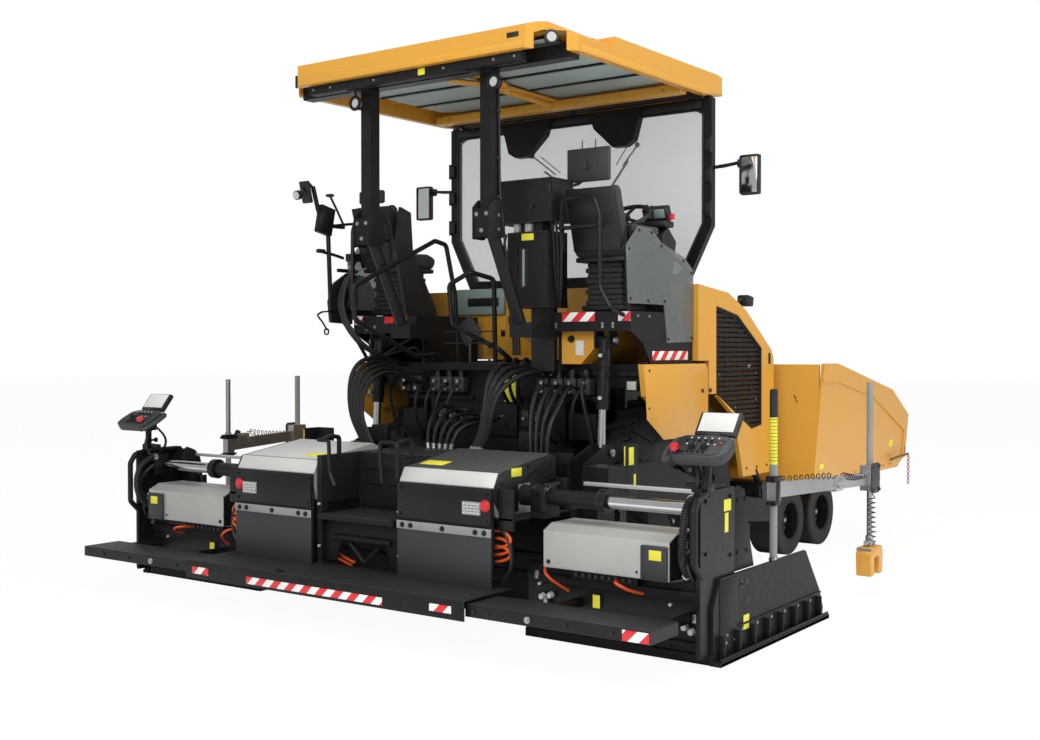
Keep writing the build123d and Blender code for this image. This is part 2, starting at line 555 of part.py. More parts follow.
# Hopper: rear wall and hinge carriers.
hopper = block(HOPPER_X - 30, HOPPER_X, -HINGE_Y, HINGE_Y, FRAME_TOP_Z, WALL_TOP_Z + 20)
hopper += block(COWL_FRONT_X + 5, HOPPER_X, -500, 500, FRAME_TOP_Z, FRAME_TOP_Z + 40)
hopper += both(block(HOPPER_X + 25, FRAME_FRONT_X - 10, -HINGE_Y + 15, -FRAME_Y + FRAME_T, TUNNEL_Z,
                     TUNNEL_Z + 16))
for bearing_x in (1500, 2300):
    hopper += both(block(bearing_x, bearing_x + 40, -HINGE_Y, -HINGE_Y + 20, TUNNEL_Z,
                         HINGE_Z - HINGE_R - FIT))
keep("hopper_body", hopper)

# Slat conveyors: two loops with crossbars.
belts = []
for belt_y in (-BELT_OUT_Y, BELT_IN_Y):
    far_y = belt_y + BELT_OUT_Y - BELT_IN_Y
    belt = block(BELT_REAR_X, BELT_FRONT_X, belt_y, far_y, BELT_Z - BELT_R, BELT_Z + BELT_R)
    belt += across(BELT_FRONT_X, BELT_Z, belt_y, far_y, BELT_R) + across(BELT_REAR_X, BELT_Z, belt_y,
                                                                         far_y, BELT_R)
    slat_reach = BELT_FRONT_X - BELT_REAR_X - 2 * SLAT_END - SLAT_W
    for number in range(int(slat_reach / SLAT_PITCH) + 1):
        slat_x = BELT_REAR_X + SLAT_END + number * SLAT_PITCH
        belt += block(slat_x, slat_x + SLAT_W, belt_y, far_y, FRAME_LOW_Z + CROSS_H + FIT,
                      BELT_Z + BELT_R + 20)
    belts.append(belt)
keep("slat_conveyors", belts[0] + belts[1])

# Hopper wings: floor, leaning outer wall with a raised rim, rear wall and hinge tube.
wing = block(WALL_REAR_X - 30, FRAME_FRONT_X + 40, -WALL_Y - 8, -HINGE_Y - 15, FLOOR_Z, FLOOR_Z + FLOOR_T)
wall_line = [(WALL_REAR_X, FLOOR_Z), (WALL_REAR_X, WALL_TOP_Z), (WALL_REAR_X + 300, WALL_TOP_Z), (2643, 1325),
             (WALL_FRONT_X, 1080), (WALL_FRONT_X, FLOOR_Z + 80), (2950, FLOOR_Z)]
rim_line = [(WALL_REAR_X, WALL_TOP_Z - 145), (WALL_REAR_X, WALL_TOP_Z), (WALL_REAR_X + 300, WALL_TOP_Z),
            (2643, 1325), (WALL_FRONT_X, 1080), (WALL_FRONT_X, FLOOR_Z + 80), (3060,
                                                                               FLOOR_Z + 80), (3060,
                                                                                               930), (2918, 989),
            (2184, 1268), (WALL_REAR_X + 300, WALL_TOP_Z - 145)]
lean = Pos(0, -WALL_Y, FLOOR_Z) * Rot(WALL_LEAN, 0, 0) * Pos(0, WALL_Y, -FLOOR_Z)
wing += lean * (side_plate(wall_line, -WALL_Y - WALL_T, -WALL_Y) + side_plate(rim_line,
                                                                              -WALL_Y - WALL_T - 12, -WALL_Y - 5))
wing += block(HOPPER_X + 5, HOPPER_X + 25, -1200, -HINGE_Y - 15, FLOOR_Z + 10, WALL_TOP_Z - 10)
flare_line = [(HOPPER_X + 5, -1190), (HOPPER_X + 25, -1190), (WALL_REAR_X + 22, -1560), (WALL_REAR_X + 2,
                                                                                         -1560)]
wing += flat_plate(flare_line, FLOOR_Z, WALL_TOP_Z - 10) - lean * side_plate(
    [(800, FLOOR_Z - 100), (1300, FLOOR_Z - 100), (1300, 1700), (800, 1700)], -WALL_Y - 200, -WALL_Y - 8)
wing += block(HOPPER_X + 5, WALL_REAR_X, -1200, -HINGE_Y - 15, FLOOR_Z, FLOOR_Z + FLOOR_T)
hinge_x0, hinge_x1 = HOPPER_X + 25, FRAME_FRONT_X - 20
wing += rod((hinge_x0, -HINGE_Y, HINGE_Z), (hinge_x1, -HINGE_Y, HINGE_Z), HINGE_R)
wing += block(hinge_x0, hinge_x1, -HINGE_Y - 17, -HINGE_Y, HINGE_Z - 5.7, FLOOR_Z + FLOOR_T)
wing += block(RAM_X - 20, RAM_X + 20, -RAM_TOP_Y - 30, -RAM_TOP_Y + 30, RAM_TOP_Z - 30, FLOOR_Z)
keep_pair("hopper_wing", wing)

# Wing cylinders, drawn along the line between their two eyes.
ram_reach = hypot(RAM_TOP_Y - RAM_LOW_Y, RAM_TOP_Z - RAM_LOW_Z)


def on_ram(way):
    """A point on the wing cylinder's line, at a distance from its lower eye."""
    share = way / ram_reach
    return (RAM_X, -RAM_LOW_Y - share * (RAM_TOP_Y - RAM_LOW_Y), RAM_LOW_Z + share * (RAM_TOP_Z - RAM_LOW_Z))


RAM_END = 330.0
ram = rod(on_ram(20), on_ram(RAM_END), RAM_R)
ram += rod((RAM_X - RAM_HALF, -RAM_LOW_Y, RAM_LOW_Z), (RAM_X + RAM_HALF, -RAM_LOW_Y, RAM_LOW_Z), RAM_R - 6)
ram -= rod(on_ram(60), on_ram(RAM_END), RAM_ROD_R + FIT)
keep_pair("wing_cylinder", ram)
keep_pair("wing_rod", rod(on_ram(80), on_ram(ram_reach - 45), RAM_ROD_R))

# Front apron, push beam and rollers.
apron = block(APRON_X - 6, APRON_X + 6, -APRON_Y, APRON_Y, APRON_Z, APRON_Z + 160)
keep("hopper_apron", apron + across(APRON_X, APRON_Z, -APRON_Y, APRON_Y, APRON_R))
push = block(PUSH_X, PUSH_X + PUSH_T, -PUSH_Y, PUSH_Y, PUSH_Z - 80, PUSH_Z + 80)
front_x = PUSH_X + PUSH_T
fork_line = [(front_x, PUSH_Z - 70), (ROLLER_X + 22, PUSH_Z - 40), (ROLLER_X + 42, PUSH_Z),
             (ROLLER_X + 22, PUSH_Z + 40), (front_x, PUSH_Z + 70)]
for fork_y in (-PUSH_Y + 10, -70, 50, PUSH_Y - 30):
    push += side_plate(fork_line, fork_y, fork_y + 20)
push -= across(ROLLER_X, PUSH_Z, -PUSH_Y, PUSH_Y, ROLLER_PIN_R + FIT)
keep("push_beam", push)
rollers = across(ROLLER_X, PUSH_Z, -PUSH_Y + 10, PUSH_Y - 10, ROLLER_PIN_R)
rollers += both(across(ROLLER_X, PUSH_Z, -PUSH_Y + 38, -78, ROLLER_R))
keep("push_rollers", rollers)

# Bogie beams and the steered front wheels.
rear_axle, front_axle = ROAD_XS
bogie_out = -BOGIE_IN_Y - BOGIE_T
bogie = side_plate([(rear_axle - 90, 330), (front_axle + 90, 330), (front_axle + 90, 420),
                    (BOGIE_X + 120, 450),
                    (BOGIE_X - 120, 450), (rear_axle - 90, 420)], bogie_out, -BOGIE_IN_Y)
bogie -= across(BOGIE_X, BOGIE_Z, bogie_out - 10, -BOGIE_IN_Y + 10, BOGIE_PIN_R + FIT)
EAR_GAP = 115.0             # from the axle to the ears that hold the kingpin
EAR_T = 30.0
for axle_x in ROAD_XS:
    for low in (ROAD_R + EAR_GAP, ROAD_R - EAR_GAP - EAR_T):
        bogie += block(axle_x - 50, axle_x + 50, -KINGPIN_Y - 40, bogie_out + 30, low, low + EAR_T)
    bogie += block(axle_x - 50, axle_x + 50, bogie_out, bogie_out + 30, ROAD_R - EAR_GAP - EAR_T,
                   ROAD_R + EAR_GAP + EAR_T)
keep("bogie_beams", both(bogie))
for place, axle_x in zip(("rear", "front"), ROAD_XS):
    knuckle = rod((axle_x, -KINGPIN_Y, ROAD_R - EAR_GAP + FIT), (axle_x, -KINGPIN_Y,
                                                                 ROAD_R + EAR_GAP - FIT), KINGPIN_R)
    knuckle += across(axle_x, ROAD_R, -KINGPIN_Y, -ROAD_IN_Y + FIT, AXLE_R)
    keep_pair("knuckle_" + place, knuckle)
    tyre = across(axle_x, ROAD_R, -ROAD_IN_Y, -ROAD_IN_Y - ROAD_W, ROAD_R)
    tyre = fillet(tyre.edges(), 18)
    tyre -= across(axle_x, ROAD_R, -ROAD_IN_Y - ROAD_W - 1, -ROAD_IN_Y - 140, ROAD_RIM_R)
    tyre -= across(axle_x, ROAD_R, -ROAD_IN_Y + 1, -ROAD_IN_Y - 60, ROAD_RIM_R)
    tyre += across(axle_x, ROAD_R, -ROAD_IN_Y, -ROAD_IN_Y - 180, ROAD_HUB_R)
    keep_pair("steered_wheel_" + place, tyre)

# Drive wheels: a wide tyre round a dished disc and its hub.
drive_out = -DRIVE_IN_Y - DRIVE_W
drive = across(DRIVE_X, DRIVE_R, -DRIVE_IN_Y, drive_out, DRIVE_R)
drive = fillet(drive.edges(), 60)
drive -= across(DRIVE_X, DRIVE_R, drive_out - 1, drive_out + 210, DRIVE_RIM_R)
drive -= across(DRIVE_X, DRIVE_R, -DRIVE_IN_Y + 1, -DRIVE_IN_Y - 150, DRIVE_RIM_R)
drive += across(DRIVE_X, DRIVE_R, -STUB_END_Y - FIT, drive_out + 125, DRIVE_HUB_R)
keep_pair("drive_wheel", drive)

# Augers: a shaft with a helical flight, of opposite hand on the two sides.
auger_len = AUGER_OUT_Y - AUGER_IN_Y - 2 * FIT
for hand, name in ((1, "auger_left"), (-1, "auger_right")):
    shaft = Cylinder(AUGER_SHAFT_R, auger_len, align=(Align.CENTER, Align.CENTER, Align.MIN))
    blade = make_face(Polyline((AUGER_SHAFT_R - 5, -4), (AUGER_R, -22), (AUGER_R, 22), (AUGER_SHAFT_R - 5, 4),
                               close=True)).face()
    flight = Solid.extrude_linear_with_rotation(blade, (0, 0, 0), (0, 0, auger_len - 20),
                                                360 * AUGER_TURNS * hand)
    screw = shaft + Pos(0, 0, 10) * Part(flight.wrapped)
    lie = Plane(origin=(TAIL_X, (AUGER_IN_Y + FIT) * hand, AUGER_Z), x_dir=(1, 0, 0), z_dir=(0, hand, 0))
    keep(name, lie * screw)

# Lift cylinders of the screed, drawn along the line between their two eyes.
lift_reach = hypot(LIFT_TOP_X - LIFT_LOW_X, LIFT_TOP_Z - LIFT_LOW_Z)


def on_lift(way):
    """A point on the lift cylinder's line, at a distance from its upper eye."""
    share = way / lift_reach
    return (LIFT_TOP_X + share * (LIFT_LOW_X - LIFT_TOP_X), -LIFT_Y,
            LIFT_TOP_Z + share * (LIFT_LOW_Z - LIFT_TOP_Z))


LIFT_CAP = 50.0
LIFT_END = 460.0
barrel = rod(on_lift(0), on_lift(LIFT_END), LIFT_R) - rod(on_lift(LIFT_CAP), on_lift(LIFT_END),
                                                          LIFT_ROD_R + FIT)
barrel += across(LIFT_TOP_X, LIFT_TOP_Z, -LIFT_Y - LIFT_R - 0.7, -LIFT_Y + LIFT_R + 0.7, LIFT_ROD_R + 4)
keep_pair("lift_cylinder", barrel)
keep_pair("lift_rod", rod(on_lift(LIFT_CAP + LIFT_STROKE + 10), on_lift(lift_reach - 30), LIFT_ROD_R))

# Tow arms, from the tow points to the screed.
arm_line = [(TOW_X + 70, TOW_Z - 60), (TOW_X + 80, TOW_Z), (TOW_X + 40, TOW_Z + 70), (-200, 640), (-1300,
                                                                                                   960),
            (-1900, 960), (-1900, 700), (-1350, 700), (-250, 450), (TOW_X - 80, TOW_Z - 70)]
arm = side_plate(arm_line, -ARM_Y - ARM_T, -ARM_Y)
arm -= across(TOW_X, TOW_Z, -ARM_Y + 10, -ARM_Y - ARM_T - 10, TOW_PIN_R + FIT)
arm += block(-1880, SCREED_FRONT_X - 40, -ARM_Y, -SCREED_Y - FIT, 600, 960)
keep("tow_arms", both(arm))

# Screed frame: base plate and box, deck plates, guide sleeves and their carriers.
screed = block(SCREED_REAR_X, SCREED_FRONT_X, -SCREED_Y, SCREED_Y, 0, DECK_Z)
niche_out_y = NICHE_Y + NICHE_T
sleeve = across(GUIDE_X, GUIDE_Z, -SLEEVE_END_Y, -niche_out_y + 1, SLEEVE_R)
sleeve -= across(GUIDE_X, GUIDE_Z, -SLEEVE_END_Y - 1, -niche_out_y + 5, STAGE_R + 1)
screed += both(sleeve)
deck = block(-2600, SCREED_REAR_X + 20, -SCREED_Y, -NICHE_Y - NICHE_T, DECK_Z - 1, DECK_Z + DECK_T)
carrier = block(GUIDE_X - 70, GUIDE_X + 70, -SLEEVE_END_Y, -SCREED_Y + 20, DECK_Z, GUIDE_Z + 40)
carrier += block(GUIDE_X - 50, GUIDE_X + 50, -460, -420, DECK_Z, GUIDE_Z - 20)
carrier -= across(GUIDE_X, GUIDE_Z, -1500, -300, SLEEVE_R)
screed += both(deck + carrier)

# Screed frame: the step between the hoods, the deck above it and the lift lugs.
niche_line = [(SCREED_REAR_X, STEP_TOP_Z), (-2600, STEP_TOP_Z), (-2600, 320), (-2545, 320), (-2545, DECK_Z),
              (SCREED_REAR_X, DECK_Z)]
niche = side_plate(niche_line, -NICHE_Y - NICHE_T, -NICHE_Y)
niche -= across(GUIDE_X, GUIDE_Z, -niche_out_y - 1, -NICHE_Y - 10, GUIDE_R + 1)
screed += both(niche)
STEP_WALL_X = -2250.0
screed += block(FLAP_X, STEP_WALL_X, -NICHE_Y, NICHE_Y, 600, 630)
screed += block(STEP_WALL_X, STEP_WALL_X + SHEET_T, -NICHE_Y, NICHE_Y, 600, STEP_TOP_Z)
screed += block(STEP_WALL_X, SCREED_FRONT_X, -niche_out_y, niche_out_y, STEP_TOP_Z - 10, STEP_TOP_Z)
screed += block(SCREED_REAR_X, SCREED_FRONT_X, -niche_out_y, niche_out_y, DECK_Z - 1, STEP_TOP_Z - 10)
lug_line = [(SCREED_FRONT_X, 650), (SCREED_FRONT_X, 950), (-1380, 1050), (-1280, 1050), (-1280, 950)]
LUG_GAP = LIFT_R + 6
LIFT_LUG_T = 18.0
lugs = side_plate(lug_line, -LIFT_Y + LUG_GAP, -LIFT_Y + LUG_GAP + LIFT_LUG_T)
lugs += side_plate(lug_line, -LIFT_Y - LUG_GAP, -LIFT_Y - LUG_GAP - LIFT_LUG_T)
screed += both(lugs)
keep("screed_frame", screed)

# Middle stages of the telescoping guides, each with a collar at its outer end.
COLLAR_R = 68.0
stage = across(GUIDE_X, GUIDE_Z, -STAGE_END_Y, -STAGE_IN_Y, STAGE_R)
stage += across(GUIDE_X, GUIDE_Z, -STAGE_END_Y, -STAGE_END_Y + 50, COLLAR_R)
stage -= across(GUIDE_X, GUIDE_Z, -STAGE_END_Y - 1, -STAGE_IN_Y + 1, GUIDE_R + 1)
keep_pair("guide_sleeve", stage)

# Silver hoods over the deck plates.
hood_line = [(-2626, 886), (-2583, 962), (-2050, 1040), (SCREED_REAR_X, 1020), (SCREED_REAR_X,
                                                                                DECK_Z + DECK_T + FIT),
             (-2590, DECK_Z + DECK_T + FIT), (-2626, 800)]
hood_in = [(-2610, 886), (-2573, 948), (-2050, 1026), (-2024, 1012), (-2024, DECK_Z), (-2580, DECK_Z),
           (-2612, 800)]
hood = side_plate(hood_line, -HOOD_OUT_Y, -HOOD_IN_Y) - side_plate(hood_in, -HOOD_OUT_Y + 10, -HOOD_IN_Y - 10)
hood -= across(GUIDE_X, GUIDE_Z, -HOOD_OUT_Y - 20, -HOOD_IN_Y + 60, SLEEVE_R + FIT)
keep("screed_hoods", both(hood))

# Black rear panels with the flaps below them.
flap = block(FLAP_X, FLAP_X + FLAP_T, -HOOD_OUT_Y, -HOOD_IN_Y, 312, 880)
flap += block(FLAP_X + FLAP_T, -2600 - FIT, -1000, -380, DECK_Z - 10, DECK_Z + DECK_T)
keep("screed_flaps", both(flap))

# Centre walkway: a channel on two brackets.
WALK_Z = 308.0
WALK_Y = 1155.0
walk = block(WALK_REAR_X, -2560, -WALK_Y, WALK_Y, WALK_Z - 8, WALK_Z)
walk += block(WALK_REAR_X, WALK_REAR_X + 8, -WALK_Y, WALK_Y, WALK_Z - 115, WALK_Z)
walk += both(block(-2600 + FIT, -2560, -NICHE_Y - 38, -NICHE_Y - 2, WALK_Z, 320 - FIT))
keep("walkway_centre", walk)

# Extenders: base plate, box, end plate, guide tube, hose guard and walkway.
ext = block(EXT_REAR_X, EXT_FRONT_X, -END_Y + 4, -EXT_IN_Y, 0, 50)
ext += block(EXT_REAR_X + 16, EXT_FRONT_X - 20, -END_Y + 4, -EXT_IN_Y - 10, 50, 430)
ext += block(-2500, -2100, -END_Y, -END_Y + 24, 50, 930)
ext += across(GUIDE_X, GUIDE_Z, -END_Y + 24, -GUIDE_IN_Y, GUIDE_R)
ext += block(GUIDE_X - 70, GUIDE_X + 50, -END_Y + 4, -END_Y + GUIDE_BOSS, GUIDE_Z - 80, GUIDE_Z + 80)
for bracket_y in (-1530, -2230):
    ext += block(-2680 + FIT, -2370, bracket_y, bracket_y + 30, STEP_Z + 4, STEP_Z + 54)
ext += rod((-2400, -END_Y + 14, 900), (-2400, -END_Y + 14, 1120), 22)
hoop_line = [(-2420, 925), (-2520, 900), (-2560, 840), (-2560, 560), (-2480, 480)]
ext += bent_tube([(x, -END_Y + 9, z) for x, z in hoop_line], 19, 35)
ext += block(-2970, -2680, -2300, -1140, STEP_Z, STEP_Z + STEP_T)
keep_pair("extender_frame", ext)

# Extender covers, silver, open below.
cover_line = [(-2520, 447), (-2520, 655), (-2440, 690), (-2200, 690), (-2200, 430 + FIT), (EXT_REAR_X,
                                                                                           430 + FIT)]
cover_in = [(-2510, 447), (-2510, 648), (-2438, 680), (-2210, 680), (-2210, 400), (EXT_REAR_X, 400)]
cover = side_plate(cover_line, -COVER_OUT_Y, -COVER_IN_Y) - side_plate(cover_in, -COVER_OUT_Y + 10,
                                                                       -COVER_IN_Y - 10)
keep_pair("extender_cover", cover)

# Consoles on the extenders: a panel with side grips and a tilted screen above it.
panel_low = 1120 + FIT
panel = block(-2560, -2360, -2500, -2160, panel_low, panel_low + 60)
panel = fillet(panel.edges().filter_by(Axis.Z), 35)
screen = Pos(-2295, -2340, 1275) * Rot(0, -35, 0) * Box(30, 230, 140)
neck = block(-2385, -2290, -2380, -2300, 1150, 1245)
keep_pair("screed_console", panel + neck + screen)

# End gates: an upright plate on a ski.
gate_line = [(SKI_REAR_X, SKI_T), (SKI_FRONT_X, SKI_T), (-880, 60), (-935, 177), (-1158, 455), (-2100, 455),
             (-2310, 455), (SKI_REAR_X, 300)]
gate = side_plate(gate_line, -END_Y - FIT, -END_Y - FIT - GATE_T)
gate += block(SKI_REAR_X, SKI_FRONT_X, -SKI_OUT_Y, -END_Y - FIT, 0, SKI_T)
keep_pair("end_gate", gate)

# Averaging beams with poles and sonic sensors, standing on the end gates.
SENSOR_HALF = 110.0
SENSOR_LEG = 60.0
beam_sizes = (("right", -30, 820, 760, 145), ("left", -850, 870, 910, 300))
for name, front_pole, low, high, foot in beam_sizes:
    beam_line = [(POLE_X + 25, low), (POLE_X + 25, low + 90), (front_pole - 60, high + 80),
                 (front_pole - 60, high)]
    beam = side_plate(beam_line, -BEAM_Y - 22, -BEAM_Y + 22)
    beam += rod((POLE_X, -BEAM_Y, 460), (POLE_X, -BEAM_Y, POLE_TOP_Z), POLE_R)
    beam += rod((POLE_X, -BEAM_Y, 455 + FIT), (POLE_X, -BEAM_Y, 475), POLE_R / 2)
    beam += block(POLE_X - 30, POLE_X + 40, -BEAM_Y - 28, -BEAM_Y + 28, low - 20, low + 110)
    beam += rod((front_pole, -BEAM_Y, foot + 175), (front_pole, -BEAM_Y, POLE_TOP_Z + 15), POLE_R)
    beam += block(front_pole - 80, front_pole + 60, -BEAM_Y - 40, -BEAM_Y + 40, high - 40, high + 130)
    head_z = foot + 125
    beam += block(front_pole - SENSOR_HALF, front_pole + SENSOR_HALF, -BEAM_Y - 50, -BEAM_Y + 50, head_z,
                  head_z + 60)
    for leg_x in (front_pole - SENSOR_HALF, front_pole + SENSOR_HALF - SENSOR_LEG):
        beam += block(leg_x, leg_x + SENSOR_LEG, -BEAM_Y - 50, -BEAM_Y + 50, foot, head_z)
    keep("averaging_beam_" + name, beam if name == "right" else other_side(beam))
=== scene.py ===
# %% [markdown]
# # A wheeled asphalt paver
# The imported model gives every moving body, node and size. This file dresses it: it gives
# each node its real finish and adds the parts that a maker bolts on, each riding on the body
# that carries it. Units are metres, X runs forward, Y to the machine's left and Z up.

# %% Load the frame
import json
from math import cos, pi, radians, sin

import bmesh
import bpy
from mathutils import Matrix, Vector

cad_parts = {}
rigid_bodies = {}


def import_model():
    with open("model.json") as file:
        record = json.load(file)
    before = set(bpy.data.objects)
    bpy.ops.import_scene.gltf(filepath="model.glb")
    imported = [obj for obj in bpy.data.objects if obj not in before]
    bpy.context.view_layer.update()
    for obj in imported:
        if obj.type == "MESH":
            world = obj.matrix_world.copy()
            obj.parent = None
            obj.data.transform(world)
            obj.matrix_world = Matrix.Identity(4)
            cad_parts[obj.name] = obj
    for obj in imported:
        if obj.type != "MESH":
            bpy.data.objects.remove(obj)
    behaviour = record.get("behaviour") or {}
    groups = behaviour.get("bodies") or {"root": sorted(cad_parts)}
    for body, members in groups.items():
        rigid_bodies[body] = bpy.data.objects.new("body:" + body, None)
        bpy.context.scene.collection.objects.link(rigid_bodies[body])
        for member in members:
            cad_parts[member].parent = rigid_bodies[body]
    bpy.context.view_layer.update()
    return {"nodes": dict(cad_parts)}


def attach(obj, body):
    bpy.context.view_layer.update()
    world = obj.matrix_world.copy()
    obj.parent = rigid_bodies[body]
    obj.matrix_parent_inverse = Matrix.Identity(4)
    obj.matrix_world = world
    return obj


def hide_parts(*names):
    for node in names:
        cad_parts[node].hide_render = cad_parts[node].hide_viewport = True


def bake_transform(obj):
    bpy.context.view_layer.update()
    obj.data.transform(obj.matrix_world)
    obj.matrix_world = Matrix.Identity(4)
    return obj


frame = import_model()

nodes = frame["nodes"]

# %% [markdown]
# ## Camera
# The photograph was taken low and from the rear right. The lens follows from the picture's
# width and the distance over which the mirrored points of the machine line up.

# %% Camera
SHIFT_X = 0.170                      # metres from the frame's origin back to the drawing's
PHOTO_WIDTH = 1040
FOCAL_PIXELS = 1235
SENSOR_WIDTH = 36                    # millimetres
camera_x, camera_y, camera_z = -8.277, -5.320, 1.682
heading, dip = 35.677, 0.971         # degrees to the left of straight ahead, and below level
camera_data = bpy.data.cameras.new("camera")
camera_data.sensor_width = SENSOR_WIDTH
camera_data.lens = SENSOR_WIDTH * FOCAL_PIXELS / PHOTO_WIDTH
camera = bpy.data.objects.new("camera", camera_data)
camera.location = (camera_x - SHIFT_X, camera_y, camera_z)
camera.rotation_euler = (radians(90 - dip), 0, radians(heading - 90))
bpy.context.scene.collection.objects.link(camera)
bpy.context.scene.camera = camera
bpy.context.scene.view_settings.view_transform = "Standard"
print("lens", round(camera_data.lens, 2), "mm")

# %% [markdown]
# ## Small helpers
# Colours are written as on a screen and turned to linear light once. One function adds a
# shader node with its settings and links.

# %% Helpers for materials
def linear(code):
    """A colour such as e8a83a in linear light."""
    parts = [int(code[i:i + 2], 16) / 255 for i in (0, 2, 4)]
    return [c / 12.92 if c <= 0.04045 else ((c + 0.055) / 1.055) ** 2.4 for c in parts] + [1.0]


def add(tree, kind, links=None, stops=(), **settings):
    """A shader node: settings are its properties or inputs, links join its inputs to sockets.
    A colour ramp has two stops, each a place and a colour."""
    made = tree.nodes.new(kind)
    if stops:
        for point, (spot, code) in zip(made.color_ramp.elements, stops):
            point.position = spot
            point.color = linear(code)
    for key, value in settings.items():
        if hasattr(made, key):
            setattr(made, key, value)
        else:
            made.inputs[key.replace("_", " ")].default_value = value
    for key, socket in (links or {}).items():
        tree.links.new(socket, made.inputs[key])
    return made


def new_material(name):
    """An empty material with its shader and an Object coordinates node."""
    made = bpy.data.materials.new(name)
    made.use_nodes = True
    tree = made.node_tree
    tree.nodes.clear()
    out = add(tree, "ShaderNodeOutputMaterial")
    shader = add(tree, "ShaderNodeBsdfPrincipled")
    tree.links.new(shader.outputs[0], out.inputs[0])
    spot = add(tree, "ShaderNodeTexCoord").outputs["Object"]
    return made, tree, shader, spot


def join(tree, shader, **sources):
    """Links the first output of nodes to the shader's inputs."""
    for key, source in sources.items():
        tree.links.new(source.outputs[0], shader.inputs[key.replace("_", " ")])


# %% [markdown]
# ## Finishes
# Most of the machine is sheet steel with a sprayed coat. A sprayed coat has a faint orange
# peel of a few millimetres and gathers dust, so its roughness and tone drift slowly. A powder
# coat shines less than enamel, so its specular level is lower.

# %% Sprayed coats
PEEL_MM = 4.0                        # the orange peel's width


def sprayed(name, code, dusty, rough, coat=0.0, shine=0.32):
    """Sprayed paint with a faint orange peel and a little dust."""
    made, tree, shader, spot = new_material(name)
    cloud = add(tree, "ShaderNodeTexNoise", {"Vector": spot}, Scale=1.7, Detail=6.0, Roughness=0.65)
    speck = add(tree, "ShaderNodeTexNoise", {"Vector": spot}, Scale=26.0, Detail=4.0)
    tone = add(tree, "ShaderNodeValToRGB", {"Fac": cloud.outputs[0]}, stops=((0.42, code), (0.75, dusty)))
    matt = add(tree, "ShaderNodeMapRange", {"Value": speck.outputs[0]}, To_Min=rough - 0.07, To_Max=rough + 0.1)
    skin = add(tree, "ShaderNodeTexNoise", {"Vector": spot}, Scale=1000 / PEEL_MM, Detail=1.0)
    bump = add(tree, "ShaderNodeBump", {"Height": skin.outputs[0]}, Strength=0.04, Distance=0.001)
    join(tree, shader, Base_Color=tone, Roughness=matt, Normal=bump)
    shader.inputs["Specular IOR Level"].default_value = shine
    shader.inputs["Coat Weight"].default_value = coat
    shader.inputs["Coat Roughness"].default_value = 0.12
    return made


yellow_paint = sprayed("yellow_enamel", "d69a33", "d09a3f", 0.38, coat=0.35)
black_paint = sprayed("black_powder_coat", "1d1d1e", "262625", 0.46, shine=0.14)
frame_paint = sprayed("black_frame_enamel", "161617", "1f1f1e", 0.38, coat=0.06, shine=0.2)
grey_paint = sprayed("grey_enamel", "8f9290", "85877f", 0.45)
pale_green_paint = sprayed("grey_green_enamel", "8fa39b", "84948c", 0.4)
lining_paint = sprayed("grey_green_lining", "a3b4ae", "95a59f", 0.5)
red_paint = sprayed("red_enamel", "b3202a", "96242a", 0.35)
white_paint = sprayed("white_enamel", "dcdcd8", "cfcfca", 0.4)
print(len(bpy.data.materials), "materials so far")

# %% [markdown]
# The screed's lids are sheet steel with a silver coat. Its metal flakes lie flat, so it is
# part metallic and a little streaked along its length. The left lid, the lids' folds and the
# levelling bars have a paler copy of it: painted light on faces that turn up and to the rear.
# The bare metals have the same streaks.

# %% Silver and bare metals
STREAKS_PER_METRE = 300.0            # a streak is about 3 mm wide and 33 times as long


def streaked(name, code, other, rough, metal):
    """Metal with fine streaks across the machine."""
    made, tree, shader, spot = new_material(name)
    drawn = add(tree, "ShaderNodeMapping", {"Vector": spot}, Scale=(1.0, 0.03, 1.0))
    streak = add(tree, "ShaderNodeTexNoise", {"Vector": drawn.outputs[0]}, Scale=STREAKS_PER_METRE, Detail=3.0)
    cloud = add(tree, "ShaderNodeTexNoise", {"Vector": spot}, Scale=2.3, Detail=5.0)
    tone = add(tree, "ShaderNodeValToRGB", {"Fac": cloud.outputs[0]}, stops=((0.35, code), (0.7, other)))
    matt = add(tree, "ShaderNodeMapRange", {"Value": streak.outputs[0]}, To_Min=rough - 0.08, To_Max=rough + 0.1)
    bump = add(tree, "ShaderNodeBump", {"Height": streak.outputs[0]}, Strength=0.06, Distance=0.001)
    join(tree, shader, Base_Color=tone, Roughness=matt, Normal=bump)
    shader.inputs["Metallic"].default_value = metal
    return made


silver_paint = streaked("silver_metallic_lacquer", "b6b6b3", "a9a9a6", 0.36, 0.35)
# A paler copy of the silver lacquer: painted light for faces turned up and to the rear.
silver_with_painted_light = streaked("metallic_lacquer_painted_light", "d8d8d5", "cfcfcc", 0.36, 0.35)
chrome = streaked("hard_chrome", "d5d5d6", "c6c6c8", 0.14, 1.0)
zinc = streaked("zinc_plated_steel", "b4b5b4", "9c9d9c", 0.34, 0.9)
bare_steel = streaked("worn_bare_steel", "77716a", "5c5751", 0.42, 0.85)
brass = streaked("brass", "b08a3e", "8f6d2c", 0.35, 1.0)
print(len(bpy.data.materials), "materials so far")

# %% [markdown]
# Rubber and moulded plastic are dull and dark. The rubber of hoses has a cloth print of about
# a millimetre, and a moulded shell a leather-like grain of about two.

